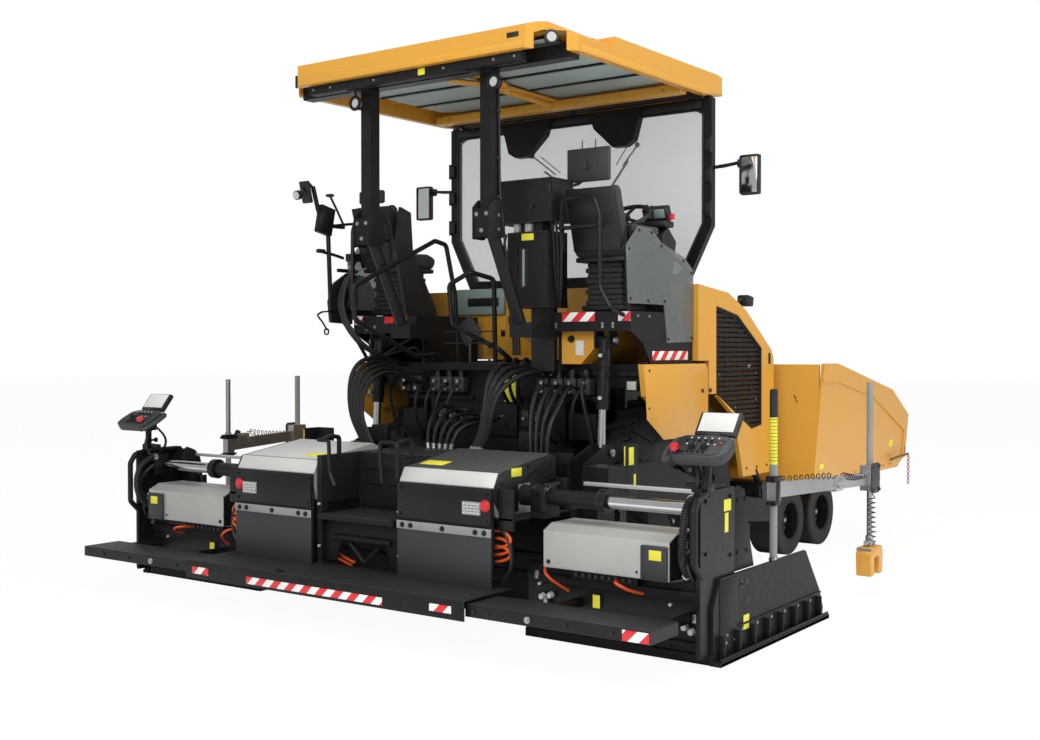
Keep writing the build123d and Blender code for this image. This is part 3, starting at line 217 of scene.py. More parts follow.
# %% Rubber and plastic
def moulded(name, code, rough, grain_mm, bump_strength, sheen=0.0):
    """Moulded plastic or rubber with a fine grain."""
    made, tree, shader, spot = new_material(name)
    grain = add(tree, "ShaderNodeTexVoronoi", {"Vector": spot}, Scale=1000 / grain_mm)
    cloud = add(tree, "ShaderNodeTexNoise", {"Vector": spot}, Scale=9.0, Detail=4.0)
    matt = add(tree, "ShaderNodeMapRange", {"Value": cloud.outputs[0]}, To_Min=rough - 0.06, To_Max=rough + 0.08)
    bump = add(tree, "ShaderNodeBump", {"Height": grain.outputs["Distance"]},
               Strength=bump_strength, Distance=0.001)
    join(tree, shader, Roughness=matt, Normal=bump)
    shader.inputs["Base Color"].default_value = linear(code)
    shader.inputs["Sheen Weight"].default_value = sheen
    return made


hose_rubber = moulded("hose_rubber", "131314", 0.48, 2.0, 0.15)
tyre_rubber = moulded("tyre_rubber", "1b1b1c", 0.75, 5.0, 0.3)
solid_rubber = moulded("solid_wheel_rubber", "1d1d1e", 0.7, 5.0, 0.3)
dark_plastic = moulded("black_abs", "101113", 0.5, 2.0, 0.25)
grey_plastic = moulded("dark_grey_abs", "2e3033", 0.5, 2.0, 0.25)
seat_vinyl = moulded("seat_vinyl", "191a1b", 0.55, 3.0, 0.35, sheen=0.1)
orange_sleeve = moulded("orange_cable_sleeve", "e2571d", 0.5, 2.0, 0.15)
yellow_sleeve = moulded("yellow_plate", "e4dd3a", 0.45, 3.0, 0.05)
red_plastic = moulded("red_lens_plastic", "c2232b", 0.22, 6.0, 0.2)
pale_plastic = moulded("pale_lens_plastic", "b9bbb8", 0.25, 6.0, 0.4)
print(len(bpy.data.materials), "materials so far")

# %% [markdown]
# Glass lets the background through. The windscreen is clear, and the side guards are smoked
# and a little dulled, so colour, clearness and roughness differ.

# %% Glass
def glazed(name, code, clear, rough=0.04):
    """Thin glass: part see-through, part reflecting."""
    made, _, shader, _ = new_material(name)
    shader.inputs["Base Color"].default_value = linear(code)
    shader.inputs["Roughness"].default_value = rough
    shader.inputs["IOR"].default_value = 1.49
    shader.inputs["Alpha"].default_value = 1 - clear
    return made


window_glass = glazed("window_glass", "a9afb1", 0.64)
smoked_guard = glazed("smoked_acrylic", "6f7674", 0.52, rough=0.12)
mirror_glass = streaked("mirror_glass", "dcdfe0", "cfd3d4", 0.1, 1.0)
print(len(bpy.data.materials), "materials so far")

# %% [markdown]
# Tread plate is rolled with raised lens-shaped lugs about 30 mm long, turned a quarter from
# one to the next. Two stretched cell patterns, one for each direction, give the lugs, and
# boots wear them smoother and paler than the sheet.

# %% Tread plate
def tread_plate(name, code, worn):
    """Sheet with raised lugs in two directions, a little paler on the lugs."""
    made, tree, shader, spot = new_material(name)
    heights = []
    for turn, shift in ((45, 0.0), (-45, 0.5)):
        turned = add(tree, "ShaderNodeMapping", {"Vector": spot}, Rotation=(0, 0, radians(turn)),
                     Scale=(24, 60, 24), Location=(shift, shift, 0))
        cells = add(tree, "ShaderNodeTexVoronoi", {"Vector": turned.outputs[0]}, Scale=1.0, Randomness=0.0)
        cells.voronoi_dimensions = "2D"
        rise = add(tree, "ShaderNodeMapRange", {"Value": cells.outputs["Distance"]}, To_Min=1.0, To_Max=-1.6)
        heights.append(rise.outputs[0])
    lugs = add(tree, "ShaderNodeMath", {0: heights[0], 1: heights[1]}, operation="MAXIMUM")
    clipped = add(tree, "ShaderNodeMath", {0: lugs.outputs[0]}, operation="MAXIMUM")
    clipped.inputs[1].default_value = 0.0
    bump = add(tree, "ShaderNodeBump", {"Height": clipped.outputs[0]}, Strength=0.9, Distance=0.004)
    matt = add(tree, "ShaderNodeMapRange", {"Value": clipped.outputs[0]}, To_Min=0.55, To_Max=0.3)
    tone = add(tree, "ShaderNodeValToRGB", {"Fac": clipped.outputs[0]}, stops=((0.05, code), (0.35, worn)))
    join(tree, shader, Base_Color=tone, Roughness=matt, Normal=bump)
    return made


tread = tread_plate("black_tread_plate", "0f0f10", "2c2c2d")
grey_tread = tread_plate("grey_grip_sheet", "323331", "4c4d4b")
print(len(bpy.data.materials), "materials so far")

# %% [markdown]
# Warning strips are sticky film with slanted red and white bars. The bars follow from the
# height and the place along the strip, so they run on from one strip to the next.

# %% Warning strips
def barred_film(name, pitch, along="Y", lean=1.0):
    """Red and white slanted bars, pitch metres apart along X or Y, leaning with the height."""
    made, tree, shader, spot = new_material(name)
    split = add(tree, "ShaderNodeSeparateXYZ", {"Vector": spot})
    tilted = add(tree, "ShaderNodeMath", {0: split.outputs["Z"]}, operation="MULTIPLY_ADD")
    tilted.inputs[1].default_value = lean
    tree.links.new(split.outputs[along], tilted.inputs[2])
    turns = add(tree, "ShaderNodeMath", {0: tilted.outputs[0]}, operation="DIVIDE")
    turns.inputs[1].default_value = pitch
    part = add(tree, "ShaderNodeMath", {0: turns.outputs[0]}, operation="FRACT")
    bars = add(tree, "ShaderNodeMath", {0: part.outputs[0]}, operation="GREATER_THAN")
    bars.inputs[1].default_value = 0.5
    tone = add(tree, "ShaderNodeValToRGB", {"Fac": bars.outputs[0]}, stops=((0.0, "d3242c"), (1.0, "e9e9e6")))
    join(tree, shader, Base_Color=tone)
    shader.inputs["Roughness"].default_value = 0.3
    return made


BAR_PITCH = 0.13                     # metres for one red and one white bar
warning_film = barred_film("red_white_film", BAR_PITCH)
side_film = barred_film("red_white_side_film", BAR_PITCH, along="X", lean=-1.0)
print(len(bpy.data.materials), "materials so far")

# %% [markdown]
# ## Making pieces
# A piece is gathered in one bmesh, from boxes, rods, plates and bent tubes, and then becomes an
# object that rides on its body. A piece of the right side can be mirrored to the left, so the
# numbers of a pair are those of the right one.

# %% Places and directions
REAR, FRONT = (-1, 0, 0), (1, 0, 0)
RIGHT, LEFT = (0, -1, 0), (0, 1, 0)
UP, DOWN = (0, 0, 1), (0, 0, -1)


def place(x, y, z):
    """A point of the drawing, in millimetres, as a point of the frame, in metres."""
    return Vector((x / 1000 - SHIFT_X, y / 1000, z / 1000))


# %% Boxes
def add_box(bm, x0, x1, y0, y1, z0, z1, edge=0.0, spin=None):
    """A box between two corners of the drawing, with rounded edges, spun about its middle."""
    low = place(min(x0, x1), min(y0, y1), min(z0, z1))
    high = place(max(x0, x1), max(y0, y1), max(z0, z1))
    made = bmesh.ops.create_cube(bm, size=1.0)["verts"]
    bmesh.ops.scale(bm, vec=high - low, verts=made)
    if edge:
        sides = list({side for corner in made for side in corner.link_edges})
        cut = bmesh.ops.bevel(bm, geom=sides, offset=edge / 1000, segments=2, profile=0.5,
                              affect="EDGES", material=-1)
        made = list({corner for face in cut["faces"] for corner in face.verts}
                    | {corner for corner in made if corner.is_valid})
    if spin:
        axis, angle = spin
        bmesh.ops.rotate(bm, cent=(0, 0, 0), matrix=Matrix.Rotation(radians(angle), 3, axis), verts=made)
    bmesh.ops.translate(bm, vec=(low + high) / 2, verts=made)
    return made


# %% Rods and bolts
def add_rod(bm, a, b, radius, end_radius=None, sides=20):
    """A round bar or cone from point a to point b of the drawing."""
    start, end = place(*a), place(*b)
    way = end - start
    turn = way.to_track_quat("Z", "Y").to_matrix().to_4x4()
    middle = Matrix.Translation((start + end) / 2) @ turn
    last = radius if end_radius is None else end_radius
    return bmesh.ops.create_cone(bm, cap_ends=True, segments=sides, radius1=radius / 1000,
                                 radius2=last / 1000, depth=way.length, matrix=middle)["verts"]


def add_bolt(bm, at, way, size=14):
    """A hex head on a washer, at a point, facing a direction. Both are shares of its size."""
    x, y, z = at
    dx, dy, dz = Vector(way).normalized() * size
    add_rod(bm, at, (x + dx * 0.2, y + dy * 0.2, z + dz * 0.2), size * 1.1, sides=16)
    add_rod(bm, at, (x + dx * 0.75, y + dy * 0.75, z + dz * 0.75), size * 0.85, sides=6)


# %% Plates
def add_plate(bm, outline, axis, start, thick, edge=0.0):
    """A flat outline given a thickness along x, y or z from start.
    The outline's two numbers are the other axes."""
    order = {"x": lambda u, v: (start, u, v), "y": lambda u, v: (u, start, v),
             "z": lambda u, v: (u, v, start)}[axis]
    corners = [bm.verts.new(place(*order(u, v))) for u, v in outline]
    face = bm.faces.new(corners)
    grown = bmesh.ops.extrude_face_region(bm, geom=[face])["geom"]
    moved = [item for item in grown if isinstance(item, bmesh.types.BMVert)]
    push = Vector([thick / 1000 if letter == axis else 0 for letter in "xyz"])
    bmesh.ops.translate(bm, vec=push, verts=moved)
    if edge:
        sides = list({side for corner in corners + moved for side in corner.link_edges})
        bmesh.ops.bevel(bm, geom=sides, offset=edge / 1000, segments=2, profile=0.5,
                        affect="EDGES", material=-1)


# %% [markdown]
# A tube or hose is Blender's own smooth curve with a round bevel, taken as a mesh once, so that
# no live curve is left. A ring is a small circle spun about an axis. A corrugated hose is a thin
# tube with one ring per fold, and a coiled cable is a tube on a screw line of ten points a turn.

# %% Tubes and hoses
BEND = 40                            # millimetres over which a tube's corner is rounded


def follow(points, radius=0.0, bend=BEND, sides=8, even=False):
    """A mesh that follows a smooth curve: a tube, or with no radius the bare line.
    even makes one loose curve."""
    stops = [Vector(p) for p in points]
    control = [stops[0]]
    for before, corner, after in zip(stops, stops[1:], stops[2:]):
        arms = [] if even else [corner + (far - corner).normalized() * min(bend, (far - corner).length * 0.45)
                                for far in (before, after)]
        control += [arms[0], corner, arms[1]] if arms else [corner]
    control.append(stops[-1])
    line = bpy.data.curves.new("route", "CURVE")
    line.dimensions = "3D"
    line.bevel_depth = radius / 1000
    line.bevel_resolution = max(0, sides // 4 - 1)
    line.use_fill_caps = True
    line.resolution_u = 6 if even else 3
    spline = line.splines.new("NURBS")
    spline.points.add(len(control) - 1)
    for point, at in zip(spline.points, control):
        point.co = (*place(*at), 1)
    spline.order_u = 3
    spline.use_endpoint_u = True
    holder = bpy.data.objects.new("route", line)
    mesh = bpy.data.meshes.new_from_object(holder)
    bpy.data.objects.remove(holder)
    bpy.data.curves.remove(line)
    return mesh


def add_tube(bm, points, radius, bend=BEND, sides=8, even=False):
    """A bent tube or hose through the points, with its corners rounded over bend millimetres."""
    mesh = follow(points, radius, bend, sides, even)
    bm.from_mesh(mesh)
    bpy.data.meshes.remove(mesh)


# %% Rings and corrugated hoses
def add_hoop(bm, at, way, radius, thick, sides=24, section=8, metres=False):
    """A ring of round wire about a point, spun from a small circle."""
    ring = bmesh.new()
    bmesh.ops.create_circle(ring, segments=section, radius=thick / 1000)
    bmesh.ops.rotate(ring, cent=(0, 0, 0), matrix=Matrix.Rotation(pi / 2, 3, "X"), verts=ring.verts)
    bmesh.ops.translate(ring, vec=(radius / 1000, 0, 0), verts=ring.verts)
    bmesh.ops.spin(ring, geom=ring.verts[:] + ring.edges[:], cent=(0, 0, 0), axis=UP,
                   angle=2 * pi, steps=sides, use_merge=True)
    turn = Vector(way).normalized().to_track_quat("Z", "Y").to_matrix().to_4x4()
    centre = Vector(at) if metres else place(*at)
    bmesh.ops.transform(ring, matrix=Matrix.Translation(centre) @ turn, verts=ring.verts)
    mesh = bpy.data.meshes.new("ring")
    ring.to_mesh(mesh)
    ring.free()
    bm.from_mesh(mesh)
    bpy.data.meshes.remove(mesh)


def add_bellows(bm, points, radius, pitch=14):
    """A corrugated hose: a tube with a round fold every pitch millimetres."""
    add_tube(bm, points, radius * 0.8, even=True)
    line = follow(points, even=True)
    spots = [v.co.copy() for v in line.vertices]
    bpy.data.meshes.remove(line)
    travelled = 0.0
    for here, after in zip(spots, spots[1:]):
        step = after - here
        while travelled < step.length * 1000:
            add_hoop(bm, here + step.normalized() * travelled / 1000, step, radius * 0.82, radius * 0.2,
                     sides=12, section=6, metres=True)
            travelled += pitch
        travelled -= step.length * 1000


# %% Coiled cables
def add_coil(bm, a, b, radius, wire, turns, sag=0):
    """A coiled cable between two points, sagging in the middle."""
    start, end = Vector(a), Vector(b)
    way = (end - start).normalized()
    side = way.cross(Vector(UP)).normalized()
    up = side.cross(way)
    path = [start]
    for step in range(turns * 10 + 1):
        share = step / (turns * 10)
        angle = step * pi / 5
        drop = Vector((0, 0, -sag * 4 * share * (1 - share)))
        around = (side * cos(angle) + up * sin(angle)) * radius
        path.append(start.lerp(end, 0.08 + 0.84 * share) + drop + around)
    add_tube(bm, path + [end], wire, sides=4, even=True)


# %% [markdown]
# A finished bmesh gets its normals, its material and its body. A pair is the same bmesh twice,
# mirrored across the machine's middle. Most pieces are short tables, so one function reads the
# tables, and one prints how many pieces a cell made.

# %% Pieces and pairs
def keep(name, bm, material, body, smooth_angle=35, stands_for=(), left=False):
    """Turns a bmesh into a piece that rides on a body, if one is named. left mirrors it."""
    if left:
        bm = bm.copy()
        bmesh.ops.scale(bm, vec=(1, -1, 1), verts=bm.verts)
    bmesh.ops.recalc_face_normals(bm, faces=bm.faces)
    mesh = bpy.data.meshes.new(name)
    bm.to_mesh(mesh)
    bm.free()
    mesh.materials.append(material)
    mesh.polygons.foreach_set("use_smooth", [True] * len(mesh.polygons))
    mesh.set_sharp_from_angle(angle=radians(smooth_angle))
    made = bpy.data.objects.new(name, mesh)
    bpy.context.scene.collection.objects.link(made)
    if body:
        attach(made, body)
    if stands_for:
        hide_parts(*stands_for)
    return made


def keep_pair(name, bm, material, body, stands_for=(), **more):
    """The right piece and its mirrored twin. In names, SIDE stands for right or left."""
    return [keep(name.replace("SIDE", side), bm, material, body.replace("SIDE", side),
                 stands_for=[node.replace("SIDE", side) for node in stands_for], left=mirrored, **more)
            for side, mirrored in (("left", True), ("right", False))]


# %% A piece from tables
EDGE_SHARE = 0.3                     # a rounded edge takes at most this part of a thin side


def piece(name, material, body="tractor", boxes=(), rods=(), tubes=(), hoses=(), bolts=(), plates=(),
          hoops=(), bellows=(), coils=(), edge=2, **more):
    """One piece from tables of boxes, rods, tubes, hoses, bolts, plates, rings and coils.
    It rides on the tractor unless a body is named, and SIDE in its name makes a pair."""
    bm = bmesh.new()
    for row in boxes:
        x0, x1, y0, y1, z0, z1, *spin = row
        least = min(abs(x1 - x0), abs(y1 - y0), abs(z1 - z0))
        add_box(bm, x0, x1, y0, y1, z0, z1, min(edge, least * EDGE_SHARE), spin[0] if spin else None)
    for row in rods:
        add_rod(bm, *row)
    for route, radius, *bend in tubes:
        add_tube(bm, route, radius, *bend)
    for route, radius in hoses:
        add_tube(bm, route, radius, even=True)
    for at, way, *size in bolts:
        add_bolt(bm, at, way, *size)
    for outline, axis, start, thick in plates:
        add_plate(bm, outline, axis, start, thick, min(edge, abs(thick) * EDGE_SHARE))
    for row in hoops:
        add_hoop(bm, *row)
    for row in bellows:
        add_bellows(bm, *row)
    for row in coils:
        add_coil(bm, *row)
    made = keep_pair if "SIDE" in name else keep
    return made(name, bm, material, body, **more)


told = {made.name for made in bpy.data.objects}


def tell(what):
    """Prints how many pieces are new since the last time."""
    fresh = {made.name for made in bpy.data.objects} - told
    told.update(fresh)
    print(what + ":", len(fresh), "pieces")


# %% [markdown]
# ## Finishes for the model's own nodes
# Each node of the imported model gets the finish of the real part.

# %% Dress the nodes
def both(*names):
    """The right and the left node of each name."""
    return [name + side for name in names for side in ("_right", "_left")]


finish_of = {
    yellow_paint: ["engine_cowl", "engine_hood", "side_hatches", "canopy_roof", "hopper_body",
                   *both("hopper_wing")],
    black_paint: ["platform", "hopper_apron", "push_beam", "bogie_beams", "tow_arms", "screed_frame",
                  "screed_flaps", "side_grilles", *both("end_gate")],
    frame_paint: ["chassis_frame", "windscreen_frame", "canopy_posts", "handrails",
                  *both("wing_cylinder", "lift_cylinder", "extender_frame", "guide_sleeve",
                        "knuckle_rear", "knuckle_front")],
    grey_paint: ["engine_block"],
    silver_paint: ["screed_hoods", *both("extender_cover")],
    chrome: both("wing_rod", "lift_rod"),
    bare_steel: ["push_rollers", "slat_conveyors", *both("auger")],
    zinc: both("averaging_beam"),
    seat_vinyl: ["seats"],
    dark_plastic: ["operator_consoles", "steering_wheel"],
    grey_plastic: both("screed_console"),
    window_glass: ["glazing"],
    tread: ["walkway_centre"],
    tyre_rubber: both("drive_wheel"),
    solid_rubber: both("steered_wheel_rear", "steered_wheel_front"),
}
dressed = set()
for material, names in finish_of.items():
    for name in names:
        slots = nodes[name].data.materials
        slots.clear()
        slots.append(material)
        dressed.add(name)
print("nodes without a finish:", sorted(set(nodes) - dressed))

# %% [markdown]
# ## Canopy
# The roof is one moulded shell. From below it shows a grey-green lining in two halves, crossed
# by dark stiffeners, and a yellow arm that forks towards the rear. Outlines and boxes with
# rounded edges are enough here, because every part of it is flat sheet.

# %% Canopy lining and arm
lining = [(-1990, -60), (-1990, -1020), (-560, -1020), (-420, -900), (-420, -60)]
piece("canopy_lining_SIDE", lining_paint, plates=[(lining, "z", 3587, 6)])
piece("canopy_stiffeners_SIDE", black_paint,
      boxes=[(x, x + 34, -1015, -75, 3576, 3587) for x in (-1690, -1270, -850)])
fork = [(-400, -60), (-400, 60), (-1080, 60), (-1470, 215), (-1500, 150), (-1230, 0),
        (-1500, -150), (-1470, -215), (-1080, -60)]
piece("canopy_arm", yellow_paint, plates=[(fork, "z", 3558, 20)], edge=6,
      boxes=[(-480, -385, -1120, 1120, 3500, 3566), (-1130, -1040, -75, 75, 3540, 3560)],
      rods=[((-470, 0, 3540), (-1080, 0, 3548), 22)])
piece("canopy_arm_bolts", zinc,
      bolts=[((-432, y, 3500), DOWN, 9) for y in range(-1050, 1051, 175)]
      + [((-480, y, 3533), REAR, 8) for y in (-980, -620, -260, 260, 620, 980)])
lip = [(-1900, 3503), (-300, 3516), (10, 3548), (10, 3585), (-300, 3556), (-1900, 3548)]
piece("canopy_lips", yellow_paint, boxes=[(-2176, -2168, -955, 955, 3508, 3556)],
      plates=[(lip, "y", -1206, 8), (lip, "y", 1198, 8)])
tell("Canopy lining and arm")

# %% [markdown]
# A black beam closes the canopy behind, with two work lamps hanging from it and a round lamp
# in each cut corner. A lamp is a spun ring, a round housing and a lens.

# %% Canopy beam and lamps
lamp_ys, lamp_z = (530, -650), 3360
piece("canopy_beam", black_paint,
      boxes=[(-2125, -2050, -900, 900, 3447, 3508)]
      + [(-2110, -2030, s * 480, s * 560, 3508, 3560) for s in (-1, 1)]
      + [(-2100, -1960, s * 466, s * 570, 3440, 3470) for s in (-1, 1)],
      rods=[((-2035, y, lamp_z), (-2015, y, lamp_z), 40) for y in lamp_ys],
      tubes=[([(-2045, y, lamp_z + 40), (-2040, y + 20, lamp_z + 85)], 8) for y in lamp_ys],
      hoops=[((-2060, y, lamp_z), REAR, 42, 11) for y in lamp_ys])
piece("canopy_beam_bolts", zinc,
      bolts=[((-2125, y, 3478), REAR, 8) for y in (-860, -700, -300, 300, 700, 860)])
piece("canopy_sticker", yellow_sleeve, boxes=[(-2127, -2125, -145, -88, 3458, 3500)])
corner_way = (-1, -0.98, 0)
piece("corner_lamp_SIDE", dark_plastic, hoops=[((-2062, -1092, 3575), corner_way, 36, 9)],
      rods=[((-2030, -1062, 3575), (-2060, -1090, 3575), 38)])
piece("corner_lens_SIDE", pale_plastic, rods=[((-2040, -1072, 3575), (-2066, -1096, 3575), 30)])
piece("canopy_lenses", pale_plastic,
      rods=[((-2030, y, lamp_z), (-2058, y, lamp_z), 38) for y in lamp_ys])
piece("canopy_rear_plate", dark_plastic, boxes=[(-2172, -2168, -925, -835, 3580, 3612)], edge=4)
tell("Canopy beam and lamps")

# %% [markdown]
# The canopy stands on two folding posts. Their fold brackets carry through bolts and a locking
# pin, and a cable clips to the post.

# %% Post fittings
piece("post_fittings_SIDE", zinc,
      bolts=[((-2010, -518 + y, z), REAR, 13) for y, z in ((-40, 2545), (40, 2545), (0, 2440))]
      + [((-1921, -580, z), RIGHT, 14) for z in (2540, 2450)])
piece("post_cable_SIDE", hose_rubber,
      hoses=[([(-1900, -568, 3440), (-1890, -572, 3100), (-1890, -572, 2700), (-1870, -590, 2480),
               (-1800, -560, 2250), (-1660, -520, 1990)], 8)],
      boxes=[(-1915, -1880, -578, -563, z, z + 18) for z in (3200, 2900, 2650)])
hinge = [(-2018, 2385), (-2018, 2590), (-1960, 2640), (-1880, 2640), (-1850, 2560), (-1850, 2420),
         (-1900, 2385)]
piece("post_hinge_plates_SIDE", black_paint,
      plates=[(hinge, "y", y, 8) for y in (-588, -456)])
tell("Post fittings")

# %% [markdown]
# ## Windscreen
# The wipers hang from motor covers at the top of the screen. Each has an arm, a second rod
# beside it and a blade, and a dark beam with a rolled blind closes the gap below the roof.

# %% Wipers, blind and mirrors
piece("windscreen_wipers", dark_plastic,
      rods=[((-98, 424, 3235), (-98, 200, 3070), 6), ((-98, 346, 3225), (-98, 160, 3085), 4),
            ((-98, -549, 3235), (-98, -420, 3090), 6), ((-98, -452, 3225), (-98, -360, 3100), 4),
            ((-98, 424, 3235), (-108, 424, 3235), 20), ((-98, -549, 3235), (-108, -549, 3235), 20)],
      boxes=[(-108, -96, 60, 330, 3018, 3034, ("X", 35)), (-108, -96, -520, -250, 3010, 3026, ("X", -52))])
piece("windscreen_blind", dark_plastic,
      rods=[((-200, -1140, 3535), (-200, 1140, 3535), 24)],
      boxes=[(-235, -110, y - 18, y + 18, 3505, 3585) for y in (-1060, -30, 1060)]
      + [(-178, -168, -1130, 1130, 3440, 3500)],
      bolts=[((-174, y, 3480), REAR, 9) for y in (-1000, 0, 1000)])
piece("windscreen_hinges_SIDE", dark_plastic,
      boxes=[(-190, -168, -1215, -1165, z, z + 90) for z in (3120, 2900, 2650)],
      rods=[((-182, -1212, z - 15), (-182, -1212, z + 105), 11) for z in (3120, 2900, 2650)])
piece("screen_gasket", solid_rubber,
      tubes=[([(-168, -1140, 2600), (-168, -950, 2232), (-168, 950, 2232), (-168, 1140, 2600), (-168, 1140, 3400),
               (-168, 1080, 3428), (-168, -1080, 3428), (-168, -1140, 3400), (-168, -1140, 2600)], 9, 40)])
piece("mirror_glass_SIDE", mirror_glass,
      boxes=[(-178, -175, -1570, -1450, 2798, 3051)], edge=1)
piece("mirror_shell_SIDE", dark_plastic, edge=12,
      boxes=[(-174, -128, -1584, -1436, 2782, 3067), (-150, -120, -1460, -1400, 2985, 3045)],
      tubes=[([(-150, -1205, 3000), (-150, -1300, 3004), (-150, -1440, 3022)], 13),
             ([(-180, y, z) for y, z in ((-1580, 2790), (-1580, 3060), (-1440, 3060), (-1440, 2790),
                                         (-1580, 2790))], 6, 30)])
piece("rear_view_panel", grey_plastic, edge=14,
      boxes=[(-1278, -1246, -1019, -685, 2805, 3030)],
      rods=[((-1262, -905, 3025), (-1262, -905, 3085), 4), ((-1262, -800, 3025), (-1262, -800, 3085), 4)],
      tubes=[([(-1250, -854, 2918), (-1225, -820, 2850), (-1225, -740, 2800), (-1300, -734, 2780)], 12)],
      hoops=[((-1282, -854, 2918), REAR, 24, 7)], bolts=[((-1278, -854, 2918), REAR, 16)])
tell("Wipers, blind and mirrors")

# %% [markdown]
# ## Seats
# Each seat is foam under black vinyl. A cushion is a closed form whose sides pull in between
# its corners. Cloth with a little inner pressure swells it as the foam would, the move is
# capped, and the left seat is the mirrored copy of the right one.

# %% Padded form
CELL, CAP = 0.010, 0.014             # metres: the voxels, and how far a point may move
PRESSURE, SETTLING_FRAMES = 4, 20
ROUNDING, PINCH = 22, 0.03           # millimetres, and a share of the pad's width


def swell(bm):
    """Swells a closed form as foam under a cover: voxels, cloth with pressure, a capped move
    and one smoothing."""
    mesh = bpy.data.meshes.new("pad")
    bm.to_mesh(mesh)
    bm.free()
    pad = bpy.data.objects.new("pad", mesh)
    scene = bpy.context.scene
    scene.collection.objects.link(pad)
    remesh = pad.modifiers.new("voxels", "REMESH")
    remesh.mode = "VOXEL"
    remesh.voxel_size = CELL
    bpy.context.view_layer.update()
    solid = bpy.data.meshes.new_from_object(pad.evaluated_get(bpy.context.evaluated_depsgraph_get()))
    pad.modifiers.clear()
    pad.data = solid
    rest = [v.co.copy() for v in solid.vertices]
    cloth = pad.modifiers.new("cloth", "CLOTH")
    cloth.settings.use_pressure = True
    cloth.settings.uniform_pressure_force = PRESSURE
    cloth.settings.effector_weights.gravity = 0
    for frame_number in range(1, SETTLING_FRAMES + 1):
        scene.frame_set(frame_number)
    puffed = bpy.data.meshes.new_from_object(pad.evaluated_get(bpy.context.evaluated_depsgraph_get()))
    scene.frame_set(1)
    pad.modifiers.clear()
    for start, corner in zip(rest, puffed.vertices):
        move = corner.co - start
        if move.length > CAP:
            corner.co = start + move * (CAP / move.length)
    pad.data = puffed
    grown = bmesh.new()
    grown.from_mesh(pad.data)
    bpy.data.objects.remove(pad)
    bmesh.ops.smooth_vert(grown, verts=grown.verts, factor=0.5,
                          use_axis_x=True, use_axis_y=True, use_axis_z=True)
    return grown


# %% A pad before it swells
def tapered_pad(outline, y0, y1):
    """A pad with an outline in x and z between y0 and y1, a little narrower, with rounded edges."""
    bm = bmesh.new()
    add_plate(bm, outline, "y", y0, y1 - y0, ROUNDING)
    middle = (y0 + y1) / 2000
    for corner in bm.verts:
        corner.co.y = middle + (corner.co.y - middle) * (1 - PINCH)
    return bm


# %% Cushions and backs
cushion_line = [(-1300, 2296), (-1330, 2330), (-1320, 2382), (-960, 2398), (-905, 2385), (-896, 2340),
                (-930, 2296)]
back_line = [(-1325, 2335), (-1245, 2340), (-1262, 2500), (-1335, 2735), (-1375, 2762), (-1418, 2748),
             (-1420, 2700), (-1345, 2480)]
for name, outline, low, high in (("seat_cushion_SIDE", cushion_line, -1182, -748),
                                 ("seat_back_SIDE", back_line, -1175, -755)):
    pad = swell(tapered_pad(outline, low, high))
    for made in keep_pair(name, pad, seat_vinyl, "tractor", smooth_angle=60):
        print(made.name, len(made.data.polygons), "faces")
tell("Cushions and backs")

# %% [markdown]
# Each seat has a moulded shell, rubber bellows over its suspension, an arm rest and a rail of
# bent tube. The bellows are a stack of boxes that step in and out.

# %% Seat shells, suspension and arm rests
shell = [(-1352, 2420), (-1340, 2330), (-1322, 2330), (-1362, 2480), (-1432, 2740), (-1448, 2735)]
piece("seat_shell_SIDE", dark_plastic, edge=8, plates=[(shell, "y", -1150, 370)],
      boxes=[(-1300, -930, -1160, -770, 2262, 2294), (-1270, -950, -1120, -800, 1938, 1975)])
folds = [(1975 + 36 * n, 10 * (n % 2)) for n in range(8)]
piece("seat_bellows_SIDE", solid_rubber, edge=14,
      boxes=[(-1250 + inset, -970 - inset, -1105 + inset, -815 - inset, z, z + 36) for z, inset in folds])
piece("seat_arm_SIDE", seat_vinyl, edge=16, boxes=[(-1290, -955, -1216, -1180, 2450, 2500)])
piece("seat_rails_SIDE", frame_paint,
      tubes=[([(-1500, -936, 2679), (-1500, -1045, 2665), (-1500, -1085, 2560), (-1500, -1090, 2080),
               (-1500, -1175, 1940), (-1350, -1175, 1905)], 15),
             ([(-1500, -936, 2679), (-1500, -800, 2665), (-1450, -760, 2560), (-1440, -760, 2330)], 15),
             ([(-1280, -1200, 2455), (-1290, -1200, 2380), (-1290, -1170, 2300)], 12)],
      boxes=[(-1508, -1440, -1088, -760, 2470, 2490)])
piece("seat_lobe", seat_vinyl, edge=20, boxes=[(-1440, -1392, 850, 1080, 2765, 2862)],
      rods=[((-1415, 900, 2740), (-1415, 900, 2790), 8), ((-1415, 1030, 2740), (-1415, 1030, 2790), 8)])
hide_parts("seats")
tell("Seat shells, suspension and arm rests")

# %% [markdown]
# ## Operator's place
# The cabinets behind the right seat have flush doors with a hinge, a lock knob, a level glass
# and two pale fittings. Doors are thin plates with rounded edges, 3 mm proud, so that light
# draws their gap.

